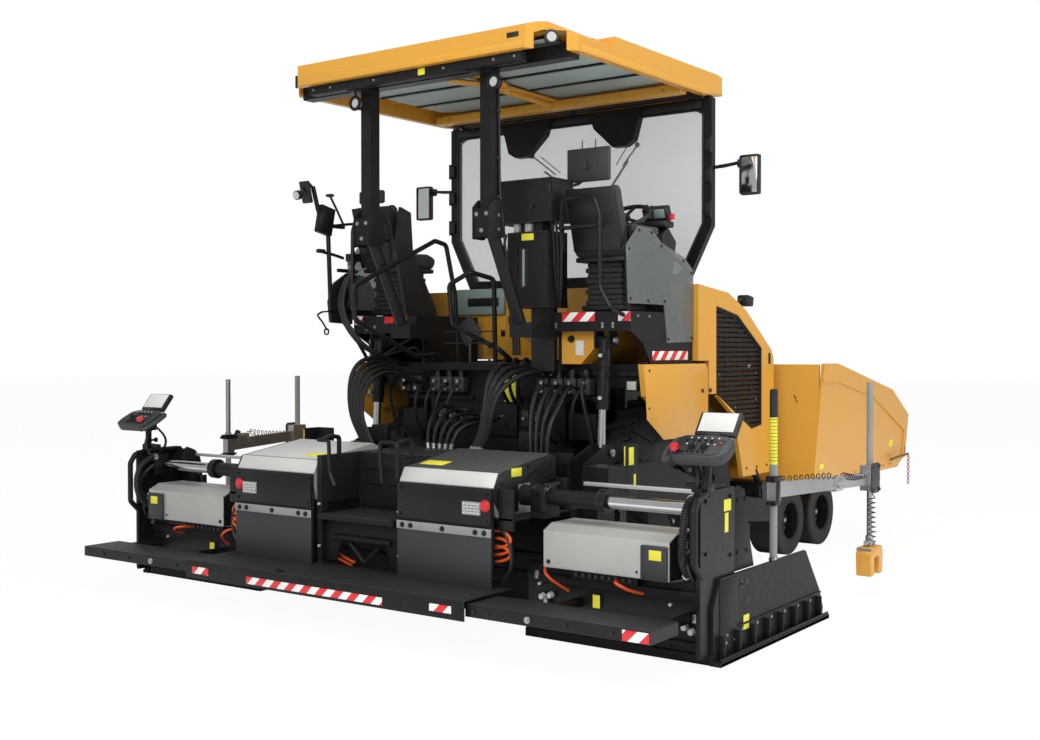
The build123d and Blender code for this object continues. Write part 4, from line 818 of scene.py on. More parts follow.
# %% Cabinets
piece("cabinet_doors", black_paint,
      boxes=[(-1504, -1500, -678, -358, 1972, 2462), (-1524, -1520, -722, -268, 2540, 2812),
             (-1496, -1280, -689, -685, 1975, 2455)])
piece("cabinet_fittings", dark_plastic, edge=3,
      boxes=[(-1536, -1524, -722, -690, 2705, 2775), (-1506, -1502, -520, -455, 2092, 2365)],
      rods=[((-1524, -576, 2637), (-1540, -576, 2637), 15), ((-1504, -640, 2300), (-1514, -640, 2300), 9)],
      bolts=[((-1524, y, z), REAR, 6) for y in (-705, -285) for z in (2558, 2795)]
      + [((-1504, y, z), REAR, 6) for y in (-664, -372) for z in (1990, 2445)])
piece("cabinet_level_glass", pale_green_paint, boxes=[(-1509, -1505, -497, -479, 2104, 2352)], edge=3)
piece("cabinet_sticker", yellow_sleeve, boxes=[(-1506, -1504, -570, -471, 2412, 2457)])
piece("cabinet_caps", pale_plastic, edge=4,
      boxes=[(-1480, -1440, -430, -385, 2472, 2528), (-1480, -1440, -530, -480, 2472, 2528)])
piece("cabinet_hoses", hose_rubber,
      hoses=[([(-1420, -360 + 40 * n, 2470), (-1440, -340 + 40 * n, 2350), (-1400, -330 + 30 * n, 2100),
               (-1330, -320 + 25 * n, 1850), (-1290, -300 + 25 * n, 1640)], 10) for n in range(3)]
      + [([(-1480, -700 - 30 * n, 2530), (-1500, -730 - 30 * n, 2430), (-1470, -720 - 25 * n, 2250),
           (-1430, -700 - 20 * n, 2060), (-1380, -690, 1960)], 9) for n in range(3)])
tell("Cabinets")

# %% [markdown]
# The dash has a tilted display, push buttons, a red stop knob and two levers. The right and
# left stations also carry small joysticks on a stalk beside the seat.

# %% Dash and levers
piece("dash_housing", dark_plastic, edge=14,
      boxes=[(-640, -560, -1100, -905, 2575, 2690, ("Y", -25)), (-700, -560, -1120, -640, 2535, 2580)],
      rods=[((-640, -950, 2560), (-660, -955, 2660), 6), ((-640, -990, 2560), (-668, -1000, 2650), 6)],
      hoops=[((-700, -860, 2560), (-0.5, 0, 0.87), 38, 9)])
piece("dash_screen", pale_green_paint, boxes=[(-648, -642, -1085, -960, 2600, 2665, ("Y", -25))])
piece("dash_knobs", dark_plastic,
      rods=[((-658, -955, 2655), (-664, -957, 2700), 14, 10), ((-668, -1000, 2645), (-674, -1003, 2690), 14, 10)])
piece("dash_red_button", red_plastic, rods=[((-620, -1130, 2590), (-625, -1135, 2630), 22, 18),
                                                     ((-640, -925, 2640), (-646, -926, 2648), 8)])
piece("dash_green_button", pale_green_paint, rods=[((-640, -945, 2640), (-646, -946, 2648), 8),
                                                            ((-640, -912, 2660), (-646, -913, 2668), 6)])
piece("column_gaiter", solid_rubber,
      rods=[((-705, -860, 2400), (-735, -860, 2450), 62, 40)],
      hoops=[((-705 - 6 * n, -860, 2400 + 10 * n), (-0.5, 0, 0.87), 58 - 5 * n, 7) for n in range(5)])
piece("wheel_cap", grey_plastic, "steering", rods=[((-826, -860, 2611), (-832, -860, 2621), 34, 26)])
piece("wheel_knob", dark_plastic, "steering", rods=[((-720, -790, 2665), (-735, -790, 2692), 17, 14)])
tell("Dash and levers")

# %% [markdown]
# Smoked acrylic guards stand beside the stations on a row of bolts, with a bent tube inside
# their front edge. Warning film, a red lens and a black bumper sheet sit below them.

# %% Guards, film and lenses
guard_bolt_spots = [(-1358, 2010), (-1378, 2330), (-1250, 2462), (-1085, 2458), (-950, 2375), (-640, 2295),
                    (-515, 2215), (-515, 1760), (-850, 1750), (-905, 2005), (-1130, 2002)]
guard_shape = [(-1253, 2488), (-1082, 2482), (-946, 2398), (-620, 2316), (-490, 2235), (-490, 1733),
               (-860, 1724), (-903, 1981), (-1379, 1980), (-1405, 2353)]
piece("guard_film_SIDE", smoked_guard, plates=[(guard_shape, "y", -1233.2, 1.6)])
piece("guard_bolts_SIDE", dark_plastic,
      bolts=[((x, -1233, z), RIGHT, 9) for x, z in guard_bolt_spots])
piece("guard_tubes_SIDE", frame_paint,
      tubes=[([(-1340, -1205, 1935), (-1370, -1205, 2320), (-1240, -1205, 2460), (-1090, -1205, 2455),
               (-960, -1205, 2370), (-640, -1205, 2290), (-560, -1205, 2250), (-545, -1205, 1935)], 13)])
for side, spans in (("right", ((-950, -690), (-1224, -1130))), ("left", ((690, 800), (1130, 1224)))):
    piece("rear_film_" + side, warning_film, "tractor",
          boxes=[(-1342, -1340, y0, y1, 1866, 1928) for y0, y1 in spans])
piece("side_film_SIDE", side_film, boxes=[(-1058, -560, -1227, -1225, 1607, 1668)])
piece("rear_lens", red_plastic, rods=[((-1340, 835, 1898), (-1352, 835, 1898), 26)],
      boxes=[(-1352, -1340, 860, 905, 1872, 1924)])
piece("tank_knob", dark_plastic, rods=[((-1242, -700, 1750), (-1262, -700, 1750), 26, 20),
                                                ((-1262, -700, 1750), (-1275, -700, 1750), 12)])
piece("tank_plate", white_paint, boxes=[(-1245, -1242, -800, -735, 1640, 1740)])
piece("station_bolts_SIDE", zinc,
      bolts=[((-1340, y, z), REAR, 9) for y in (-1090, -1010, -640) for z in (1830, 1850)]
      + [((x, -1225, 1900), RIGHT, 9) for x in (-1250, -1100, -700)])
tell("Guards, film and lenses")

# %% [markdown]
# The left station has a folding mast with a round lamp, a screen holder and a control box, and
# a black moulded shell beside the seat.

# %% Left mast
piece("mast_parts", frame_paint, edge=8,
      boxes=[(-1705, -1560, 1215, 1265, 2535, 2745, ("Y", 12)), (-1590, -1430, 1224, 1256, 2590, 2620),
             (-1712, -1640, 1222, 1258, 2395, 2425), (-1500, -1280, 1226, 1254, 2262, 2290)],
      tubes=[([(-1579, 1240, 2829), (-1500, 1240, 2720), (-1441, 1240, 2631)], 9),
             ([(-1548, 1240, 2607), (-1400, 1240, 2630), (-1276, 1240, 2645)], 12),
             ([(-1652, 1240, 2403), (-1540, 1240, 2390), (-1439, 1240, 2371)], 12),
             ([(-1757, 1240, 2870), (-1800, 1240, 2900), (-1860, 1240, 2840)], 10),
             ([(-1575, 1222, 1965), (-1700, 1205, 1958), (-1758, 1200, 1933), (-1700, 1200, 1880),
               (-1655, 1200, 1824)], 7),
             ([(-1506, 1215, 1924), (-1300, 1215, 1730), (-1164, 1215, 1559)], 14)],
      hoops=[((-1655, 1205, 1812), LEFT, 22, 6)])
piece("mast_heads", dark_plastic, edge=9,
      boxes=[(-1842, -1812, 1195, 1285, 2750, 2912, ("Y", -14)), (-1600, -1560, 1212, 1268, 2820, 2842)],
      rods=[((-1895, 1240, 2805), (-1925, 1240, 2798), 34), ((-1870, 1240, 2812), (-1895, 1240, 2805), 16)])
piece("mast_lens", pale_plastic, rods=[((-1922, 1240, 2799), (-1929, 1240, 2797), 28)])
shell_line = [(-1580, 1880), (-1600, 2040), (-1540, 2180), (-1400, 2262), (-1180, 2240), (-1085, 2120),
              (-1070, 1935), (-1345, 1935), (-1345, 1870)]
piece("left_shell", dark_plastic, edge=14, plates=[(shell_line, "y", 1228, 30)],
      bolts=[((x, 1258, z), LEFT, 10) for x, z in ((-1540, 1930), (-1500, 2120), (-1180, 2180))])
piece("left_hoses", hose_rubber,
      hoses=[([(-1480, 1120 + 14 * n, 2250 - 10 * n), (-1560, 1140 + 14 * n, 2100), (-1570, 1100 + 12 * n, 1900),
               (-1500, 1000 + 12 * n, 1720), (-1340, 900 + 20 * n, 1620), (-1120, 860 + 20 * n, 1560)], 12)
             for n in range(4)])
piece("left_joystick", dark_plastic, edge=8,
      boxes=[(-1470, -1380, 1100, 1190, 2340, 2400)],
      rods=[((-1425, 1145, 2400), (-1430, 1145, 2450), 9), ((-1430, 1145, 2445), (-1434, 1145, 2510), 20, 16)])
tell("Left mast")

# %% [markdown]
# ## Aisle and engine cowl behind
# The cowl's rear face closes the aisle. It has flush doors with latches, a grey-green panel
# with a long slot above them, and a hinged foot rest. The aisle floor is tread plate.

# %% Cowl rear face and aisle floor
piece("slotted_panel", pale_green_paint, edge=8, boxes=[(-522, -488, 407, 948, 1953, 2156)])
# The slot is a dark box on the panel's face: painted shade in place of the opening.
piece("panel_slot", dark_plastic, edge=6, boxes=[(-526, -520, 452, 758, 2018, 2084)])
piece("panel_bolts", zinc,
      bolts=[((-522, y, z), REAR, 7) for y in (425, 930) for z in (1975, 2135)])
piece("cowl_rear_doors", yellow_paint, edge=4,
      boxes=[(-492, -486, -590, -190, 1640, 2060), (-492, -486, -170, 385, 1640, 2060),
             (-492, -486, 400, 590, 1640, 1940), (-490, -486, -1190, -960, 1720, 2060)])
piece("cowl_rear_fittings", dark_plastic, edge=5,
      boxes=[(-500, -492, -230, -196, 1900, 1960), (-500, -492, 330, 375, 1880, 1940),
             (-498, -492, 410, 450, 1780, 1830)],
      rods=[((-492, -560, 2020), (-500, -560, 2020), 12), ((-492, 560, 1700), (-500, 560, 1700), 12)])
piece("cowl_handle", zinc,
      tubes=[([(-505, 214, 1794), (-540, 205, 1790), (-540, 130, 1740), (-505, 121, 1734)], 7, 15)])
piece("aisle_tread", tread, edge=0.5, boxes=[(-1240, -500, -590, 590, 1580, 1583)])
piece("station_tread_SIDE", tread, edge=0.5, boxes=[(-900, -780, -1200, -630, 1930, 1933)])
piece("foot_rest", grey_plastic, edge=6,
      boxes=[(-1040, -1020, 270, 440, 1735, 1905, ("X", -38))],
      tubes=[([(-1030, 340, 1582), (-1030, 340, 1760), (-1030, 380, 1830)], 12)])
piece("aisle_steps", frame_paint, edge=3,
      boxes=[(-1500, -1440, -205, 200, z, z + 8) for z in (1720, 1800)],
      tubes=[([(-1225, 600, 1600), (-1300, 640, 1700), (-1380, 882, 1637), (-1330, 517, 1826)], 11)])
tell("Cowl rear face and aisle floor")

# %% [markdown]
# ## Rear housing and hoses
# The hydraulic valves sit behind the housing's rear wall, under the aisle. Their hoses leave in
# bundles, hang in wide loops and go down to the screed. Each hose is one smooth curve with a
# crimped fitting at its end. A hose that reaches the screed rides on no body, while its fittings
# ride on the tractor and the screed.

# %% Valves, brackets and fittings
piece("housing_frame", black_paint, edge=4,
      boxes=[(-1160, -1132, 216, 872, 1310, 1345), (-1160, -1132, -880, -216, 1330, 1362),
             (-1152, -1132, -1180, 1180, 1500, 1528), (-1170, -1132, 560, 600, 1010, 1500),
             (-1170, -1132, -600, -560, 1010, 1500), (-1160, -1132, -180, 180, 1060, 1290),
             (-1190, -1132, -860, -640, 1060, 1240), (-1190, -1132, 640, 860, 1060, 1240)],
      bolts=[((-1160, y, 1328), REAR, 11) for y in (-840, -620, 250, 640, 840)]
      + [((-1152, y, 1514), REAR, 10) for y in range(-1100, 1101, 200)])
piece("valve_blocks", grey_plastic, edge=6,
      boxes=[(-1240, -1160, y, y + 92, 1370, 1480) for y in (-840, -730, -620, -500, 240, 350, 460, 640, 750)]
      + [(-1215, -1160, y, y + 60, 1140, 1250) for y in (-420, -320, 230, 330, 430)])
piece("valve_coils", dark_plastic,
      rods=[((-1200, y + 46, 1480), (-1200, y + 46, 1540), 24) for y in (-840, -730, -620, 240, 350, 460)]
      + [((-1240, y + 46, 1420), (-1285, y + 46, 1420), 20) for y in (-730, -500, 350, 750)])
piece("valve_fittings", zinc,
      rods=[((-1240, y, z), (-1275, y, z), 13) for y in (-810, -700, -590, -470, 270, 380, 490, 670, 780)
            for z in (1395, 1450)]
      + [((-1215, y, 1195), (-1250, y, 1195), 12) for y in (-400, -300, 250, 350, 450)])
piece("housing_sticker", yellow_sleeve, boxes=[(-1134, -1131, -154, -56, 1304, 1525)])
piece("auger_beam_fittings", zinc,
      rods=[((-1442, y, 660), (-1470, y, 660), 14) for y in (-900, -500, 500, 900)],
      bolts=[((-1440, y, z), REAR, 12) for y in (-40, 40) for z in (350, 450, 640)])
tell("Valves, brackets and fittings")

# %% Hoses between the tractor and the screed
CRIMP = 1.25                         # a crimped fitting's radius over its hose's


def part_way(a, b, share):
    """A point between two points of the drawing."""
    return tuple(Vector(a).lerp(Vector(b), share))


def screed_hose(name, routes, radius):
    """A bundle of hoses from the tractor to the screed, on no body, with fittings riding on both."""
    made = piece(name, hose_rubber, None, hoses=[(route, radius) for route in routes])
    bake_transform(made)
    piece(name + "_crimps", zinc, "tractor",
          rods=[(route[0], part_way(route[0], route[1], 0.12), radius * CRIMP) for route in routes])
    piece(name + "_ends", zinc, "screed",
          rods=[(part_way(route[-1], route[-2], 0.3), route[-1], radius * CRIMP) for route in routes])


screed_hose("hoses_left",
            [[(-1180, 560 + 46 * n, 1395 + 10 * (n % 2)), (-1330, 640 + 36 * n, 1450 + 20 * n),
              (-1560, 700 + 34 * n, 1540 + 26 * n), (-1760, 735 + 32 * n, 1420 + 30 * n),
              (-1800, 730 + 28 * n, 1200 + 10 * n), (-1790, 640 + 22 * n, 1040), (-1800, 600 + 20 * n, 985)]
             for n in range(5)], 17)
screed_hose("hoses_middle",
            [[(-1180, -300 - 70 * n, 1520), (-1400, -310 - 60 * n, 1600 - 20 * n),
              (-1700, -350 - 40 * n, 1540 - 30 * n), (-1790, -380 - 20 * n, 1320),
              (-1780, -330 - 22 * n, 1100), (-1800, -270 - 24 * n, 1000)]
             for n in range(4)], 18)
screed_hose("hoses_right",
            [[(-1180, -560 - 60 * n, 1400), (-1380, -600 - 60 * n, 1460), (-1600, -640 - 60 * n, 1400 - 40 * n),
              (-1700, -680 - 50 * n, 1200), (-1720, -700 - 40 * n, 1020), (-1730, -720 - 30 * n, 720)]
             for n in range(4)], 13)
screed_hose("hoses_centre",
            [[(-1240, 250 - 90 * n, 1200), (-1400, 230 - 90 * n, 1290 - 30 * n),
              (-1620, 190 - 80 * n, 1260 - 20 * n), (-1730, 170 - 60 * n, 1120), (-1740, 150 - 50 * n, 1000)]
             for n in range(5)], 13)
tell("Hoses between the tractor and the screed")

# %% [markdown]
# More hoses curl within the cowl's rear housing, from its ceiling down to the valves. They lie
# in rows, so one list of points with a step to the side draws a whole row.

# %% Hoses within the housing
piece("housing_hoses", hose_rubber,
      hoses=[([(-1275, -810 + 110 * n, 1420), (-1360, -800 + 110 * n, 1380), (-1340, -760 + 105 * n, 1180),
               (-1250, -700 + 90 * n, 1060), (-1140, -660 + 80 * n, 1030)], 12) for n in range(4)]
      + [([(-1275, 270 + 110 * n, 1420), (-1350, 290 + 105 * n, 1360), (-1330, 330 + 95 * n, 1170),
           (-1250, 380 + 80 * n, 1060), (-1140, 400 + 80 * n, 1030)], 12) for n in range(4)]
      + [([(-1200, -330 + 90 * n, 1560), (-1260, -340 + 90 * n, 1640), (-1350, -360 + 80 * n, 1560),
           (-1330, -300 + 70 * n, 1400), (-1200, -260 + 60 * n, 1300)], 14) for n in range(3)]
      + [([(-1135, -780, 1540), (-1290, -800, 1480), (-1300, -850, 1250), (-1230, -860, 1030)], 14),
         ([(-1135, 930, 1500), (-1260, 930, 1430), (-1290, 900, 1250), (-1230, 860, 1030)], 14)])
tell("Hoses within the housing")

# %% [markdown]
# The screed hangs on two lift cylinders. Each has a clamp ring at its mouth, hose unions on the
# barrel and a pin with a round head at both eyes.

# %% Lift cylinders
piece("lift_rings_SIDE", frame_paint, "lift_barrel_SIDE",
      hoops=[((-1312, -1000, 1338), (0.06, 0, 1), 44, 6), ((-1300, -1000, 1560), (0.04, 0, 1), 45, 5)],
      boxes=[(-1345, -1290, -1062, -1040, 1500, 1530)])
piece("lift_unions_SIDE", zinc, "lift_barrel_SIDE",
      rods=[((-1350, -1010, 1640), (-1385, -1020, 1640), 13), ((-1362, -1010, 1360), (-1392, -1020, 1360), 13)])
piece("lift_pins_SIDE", zinc, rods=[((-1290, -1074, 1740), (-1290, -1092, 1740), 24)],
      bolts=[((-1290, -1092, 1740), RIGHT, 12)])
piece("lift_eyes_SIDE", zinc, "screed", rods=[((-1338, -1078, 1000), (-1338, -1094, 1000), 24)],
      bolts=[((-1338, -1094, 1000), RIGHT, 12)])
piece("lift_stays_SIDE", black_paint, "screed", edge=4,
      boxes=[(-1675, -1640, -780, -740, 960, 1120), (-1660, -1610, -960, -756, 940, 1010),
             (-1690, -1640, -724, -580, 1020, 1140)],
      bolts=[((-1690, y, 1080), REAR, 14) for y in (-690, -620)])
piece("tow_arm_plates_SIDE", black_paint, "screed", edge=4,
      boxes=[(-1700, -1560, -1401, -1390, 780, 1090), (-1560, -1540, -1401, -1240, 960, 1090)],
      bolts=[((-1690 + 125 * n, -1401, 810), RIGHT, 7) for n in range(2)])
piece("tow_arm_stickers_SIDE", yellow_sleeve, "screed",
      boxes=[(-1703, -1700, -1400, -1392, 940, 1080), (-1660, -1600, -1402.5, -1401, 960, 1070),
             (-1600, -1575, -1402.5, -1401, 820, 900)])
tell("Lift cylinders")

# %% [markdown]
# ## Screed
# Silver lids cover the screed's middle, the right one under a grey grip sheet. Their rear edge
# is folded down over black panels, and a grey strip with five bolts clamps the flaps. A
# reflector and a red lens sit on each panel.

# %% Hoods and flaps
# The folds take the paler silver copy: painted light on their upward, rearward faces.
piece("hood_edges_SIDE", silver_with_painted_light, "screed", edge=4,
      plates=[([(-2629, 884), (-2586, 966), (-2578, 966), (-2618, 884)], "y", -1074, 706)])
piece("hood_top_right", grey_tread, "screed", edge=0.5,
      plates=[([(-2560, 967), (-2052, 1042), (-2052, 1045), (-2560, 970)], "y", -1070, 698)])
# The left lid takes the paler silver copy: painted light on its upper face.
piece("hood_top_left", silver_with_painted_light, "screed", edge=0.5,
      plates=[([(-2560, 967), (-2052, 1042), (-2052, 1044), (-2560, 969)], "y", 372, 698)],
      bolts=[((x, y, 1018 + (x + 2200) * 0.146), (-0.14, 0, 1), 8)
             for x in (-2400, -2150) for y in (400, 1040)])
cheek = [(-2630, 884), (-2585, 965), (-2050, 1044), (-2012, 1024), (-2012, 730), (-2262, 730),
         (-2262, 888), (-2398, 888), (-2398, 730), (-2570, 730), (-2630, 800)]
piece("hood_cheeks_SIDE", frame_paint, "screed", plates=[(cheek, "y", -1089, 10)],
      bolts=[((x, -1089, z), RIGHT, 9) for x, z in ((-2560, 905), (-2300, 985), (-2060, 985), (-2060, 770))])
piece("flap_panels_SIDE", frame_paint, "screed", edge=4,
      boxes=[(-2652, -2641, -1074, -368, 664, 876)],
      bolts=[((-2652, y, z), REAR, 9) for y in (-1050, -395) for z in (690, 850)])
piece("flap_sheets_SIDE", grey_plastic, "screed", edge=3, boxes=[(-2650, -2641, -1076, -366, 306, 604)])
piece("flap_strips_SIDE", grey_paint, "screed", edge=3, boxes=[(-2656, -2650, -1079, -364, 600, 650)])
piece("flap_strip_bolts_SIDE", dark_plastic, "screed",
      bolts=[((-2656, y, 625), REAR, 15) for y in (-1030, -965, -720, -475, -410)])
piece("reflector_SIDE", pale_plastic, "screed", edge=3,
      boxes=[(-2662, -2652, y, y + 22, z, z + 14) for y in range(-996, -880, 25) for z in (728, 745, 762, 779)])
piece("reflector_frame_SIDE", grey_paint, "screed", edge=3, boxes=[(-2656, -2652, -1002, -868, 722, 800)])
piece("reflector_lens_SIDE", red_plastic, "screed", rods=[((-2652, -1036, 781), (-2665, -1036, 781), 31, 26)],
      hoops=[((-2655, -1036, 781), REAR, 31, 5)])
piece("hood_stickers_SIDE", yellow_sleeve, "screed",
      boxes=[(-2471, -2370, -1092, -1089, 935, 985)],
      plates=[([(-2496, 979), (-2400, 993), (-2400, 995), (-2496, 981)], "y", -590, 180)])
tell("Hoods and flaps")

# %% [markdown]
# The step between the hoods has bent handles on both sides, a tread at its foot and on the deck
# above it, and a folded skirt below. The handles are tubes with corners of about 45 millimetres.

# %% Step and handles
piece("step_handles", frame_paint, "screed",
      tubes=[([(x, s * 311, z) for x, z in ((-2608, 1100), (-2520, 1122), (-2450, 1110), (-2450, 985))],
              16, 45) for s in (-1, 1)]
      + [([(-2608, -345, 870), (-2625, -345, 900), (-2625, -345, 1090), (-2608, -311, 1108), (-2608, -190, 1108),
           (-2600, -185, 985), (-2600, -200, 860)], 14, 40),
         ([(-2608, 345, 1100), (-2608, 250, 1100), (-2600, 248, 900), (-2600, 205, 815)], 13, 40)])
piece("step_tread", tread, "screed", edge=1,
      boxes=[(-2640, -2260, -300, 300, 630, 634), (-2245, -1650, -350, 350, 1000, 1003)])
piece("step_back", black_paint, "screed", edge=4,
      boxes=[(-2262, -2251, -300, 300, 650, 970)]
      + [(-2276, -2262, -260, 260, z, z + 12) for z in (800, 900)],
      bolts=[((-2262, y, z), REAR, 9) for y in (-280, 280) for z in (680, 940)])
lower_line = [(-320, 600), (-320, 330), (-240, 330), (-180, 470), (180, 470), (240, 330), (320, 330), (320, 600)]
piece("step_skirt", black_paint, "screed", edge=4, plates=[(lower_line, "x", -2560, 12)],
      boxes=[(-2590, -2560, -250, 250, 470, 500)],
      tubes=[([(-2540, -150, 470), (-2540, 0, 330), (-2540, 150, 470)], 18)],
      bolts=[((-2562, y, z), REAR, 12) for y in (-290, 290) for z in (360, 560)])
piece("step_side_bolts", pale_plastic, "screed",
      rods=[((-2600, s * 338, z), (-2612, s * 338, z), 9) for s in (-1, 1) for z in (690, 420)])
piece("screed_box_front", black_paint, "screed", edge=4,
      boxes=[(-2030, -2012, -1180, 1180, 60, 300), (-2034, -2012, -1190, 1190, 380, 420)],
      bolts=[((-2030, y, z), REAR, 7) for y in range(-1120, 1121, 160) for z in (100, 260)])
tell("Step and handles")

# %% [markdown]
# The tamper drive's orange cables loop out beside the flaps and back, with black hoses among
# them. Each is a smooth curve through a few points, held at both ends by the screed's wall.

# %% Screed cables
piece("tamper_cables", orange_sleeve, "screed",
      hoses=[([(-2500, 330, 560), (-2530, 364, 470), (-2520, 330, 380), (-2500, 257, 322), (-2420, 230, 280)], 9),
             ([(-2480, 300, 560), (-2510, 330, 470), (-2490, 290, 350), (-2420, 200, 300)], 9)]
      + [([(-2562, s * 1040, 540 + 46 * n), (-2585, s * 1120, 552 + 46 * n), (-2592, s * 1188, 505 + 40 * n),
           (-2585, s * 1120, 462 + 40 * n), (-2562, s * 1040, 450 + 40 * n)], 9)
         for s in (-1, 1) for n in range(3)])
piece("screed_inner_hoses", hose_rubber, "screed",
      hoses=[([(-2565, s * 1040, 650), (-2585, s * 1110, 655), (-2590, s * 1175, 560), (-2588, s * 1180, 430),
               (-2575, s * 1110, 345), (-2565, s * 1040, 335)], 13) for s in (-1, 1)]
      + [([(-2590, -330, 560), (-2575, -345, 450), (-2560, -300, 350), (-2450, -250, 280)], 10)])
tell("Screed cables")

# %% [markdown]
# The deck over the screed's box is tread plate between rails. At its ends the guides' sleeves
# are clamped, and each shows two bright collars at its mouth.

# %% Deck and sleeves
piece("deck_tread_SIDE", tread, "screed", edge=0.5, boxes=[(-2005, -1645, -1195, -365, 700, 703)])
piece("deck_rails_SIDE", frame_paint, "screed", edge=4,
      boxes=[(-2060, -2010, -1194, -1100, 715, 900), (-2600, -2580, -1194, -1092, 640, 880)])
guide_x, guide_z = -2330, 820        # the middle line of the extenders' guides
piece("sleeve_clamps_SIDE", frame_paint, "screed", edge=5,
      boxes=[(-2412, -2396, -1285, -1180, 740, 870), (-2412, -2250, -1285, -1268, 884, 905)],
      hoops=[((guide_x, -1180, guide_z), LEFT, 64, 9)],
      bolts=[((-2412, -1232, z), REAR, 12) for z in (755, 850)])
piece("sleeve_collar_SIDE", bare_steel, "screed",
      hoops=[((guide_x, y, guide_z), LEFT, 63, 6) for y in (-1262, -1275)])
tell("Deck and sleeves")

# %% [markdown]
# ## Walkways
# People walk on the tread plate behind the screed. Its rear face is one thin plate with red and
# white film, a row of bolts and lashing slots, which are dark plates here: painted shade in
# place of the openings. The film is the machine's rearmost surface, so it is drawn less than a
# millimetre proud.

# %% Centre walkway
piece("walkway_edge", black_paint, "screed", edge=3,
      boxes=[(-3003.3, -2998, -1154, 1154, 194, 307)])
piece("walkway_film", warning_film, "screed",
      boxes=[(-3003.8, -3002.6, y0, y1, z0, z1)
             for y0, y1, z0, z1 in ((941, 1098, 222, 268), (-559, 583, 210, 256), (-1067, -910, 226, 268))])
piece("walkway_bolts", dark_plastic, "screed",
      bolts=[((-2998, y, 250), REAR, 6) for y in (-1110, -860, -640, 640, 720, 900, 1125)])
# The slots are dark plates on the rear face: painted shade where the plate has openings.
piece("walkway_slots", frame_paint, "screed", edge=3,
      boxes=[(-3003.8, -3002, y, y + 34, 232, 268) for y in (-760, 760)],
      rods=[((x, 300, 308), (x, 340, 322), 10) for x in (-2990, -2960)])
tell("Centre walkway")

# %% [markdown]
# ## Extenders
# Each extender slides on a chromed tube inside a telescoping guide. The chrome is a thin sleeve
# over the model's tube, as bright as a piston rod. A silver bar in front of it keeps the
# extender level.

# %% Chromed guide and silver bar
piece("guide_chrome_SIDE", chrome, "extender_SIDE",
      rods=[((guide_x, -1680, guide_z), (guide_x, -2252, guide_z), 38.5, None, 48)])
piece("guide_ring_SIDE", frame_paint, "extender_SIDE",
      hoops=[((guide_x, -2268, guide_z), LEFT, 56, 10)],
      boxes=[(-2400, -2262, -2312, -2262, 745, 895)], edge=10)
piece("stage_seal_SIDE", dark_plastic, "sleeve_SIDE",
      hoops=[((guide_x, -1660, guide_z), LEFT, 52, 8), ((guide_x, -1622, guide_z), LEFT, 66, 4)],
      bolts=[((guide_x + 44 * cos(a), -1669, guide_z + 44 * sin(a)), RIGHT, 3)
             for a in (0.5, 1.6, 2.6, 3.7, 4.7, 5.8)])
# The level bar takes the paler silver copy: painted light on its upper face.
piece("level_bar_SIDE", silver_with_painted_light, "extender_SIDE", edge=3, boxes=[(-2004, -1976, -2318, -1272, 858, 880)])
piece("level_bar_block_SIDE", frame_paint, "extender_SIDE", edge=5,
      boxes=[(-2006, -1974, -1290, -1272, 858, 884), (-2012, -1968, -2318, -2290, 850, 892)])
bracket = [(-2070, 760), (-2070, 905), (-2130, 940), (-2200, 860), (-2140, 740)]
piece("extender_bracket_SIDE", black_paint, "extender_SIDE", edge=4,
      plates=[(bracket, "y", y, 12) for y in (-2210, -2306)],
      boxes=[(-2110, -2060, -2310, -2196, 640, 760), (-2140, -2066, -2300, -2200, 760, 790)])
piece("extender_stickers_SIDE", yellow_sleeve, "extender_SIDE",
      boxes=[(-2233, -2148, -2336.5, -2334, 805, 868),
             (-2222, -2180, -2336.5, -2334, 690, 796), (-2392, -2390, -1647, -1600, 222, 296)])
tell("Chromed guide and silver bar")

# %% [markdown]
# The cover is a silver lid with folded edges between painted cheeks. A grey control box with a
# yellow sticker is set on its outer end.

# %% Covers
piece("cover_folds_SIDE", silver_paint, "extender_SIDE", edge=3,
      boxes=[(-2524, -2519, -2158, -1354, 449, 455), (-2442, -2205, -2162, -2154, 684, 693)])
cover_end = [(-2518, 450), (-2518, 652), (-2440, 688), (-2202, 688), (-2202, 436)]
piece("cover_cheeks_SIDE", frame_paint, "extender_SIDE",
      plates=[(cover_end, "y", y, 4) for y in (-1352, -2164)],
      bolts=[((x, -2164, z), RIGHT, 8) for x, z in ((-2490, 480), (-2490, 630), (-2240, 650), (-2240, 470))])
piece("cover_screws_SIDE", dark_plastic, "extender_SIDE",
      bolts=[((-2520, -1385, 480), REAR, 12), ((-2520, -1960, 480), REAR, 7)])
piece("cover_box_SIDE", grey_plastic, "extender_SIDE", edge=7,
      boxes=[(-2536, -2519, -2152, -1990, 445, 632)],
      bolts=[((-2536, y, z), REAR, 7) for y in (-2136, -2006) for z in (462, 616)])
piece("cover_sticker_SIDE", yellow_sleeve, "extender_SIDE", boxes=[(-2538, -2536, -2120, -2045, 556, 610)])
tell("Covers")

# %% [markdown]
# Below the cover are vents, strips with rows of bolts, pale knobs and clips, and the heater's
# orange cables, which loop down to the base plate. Boxes and short rods do for the small parts.

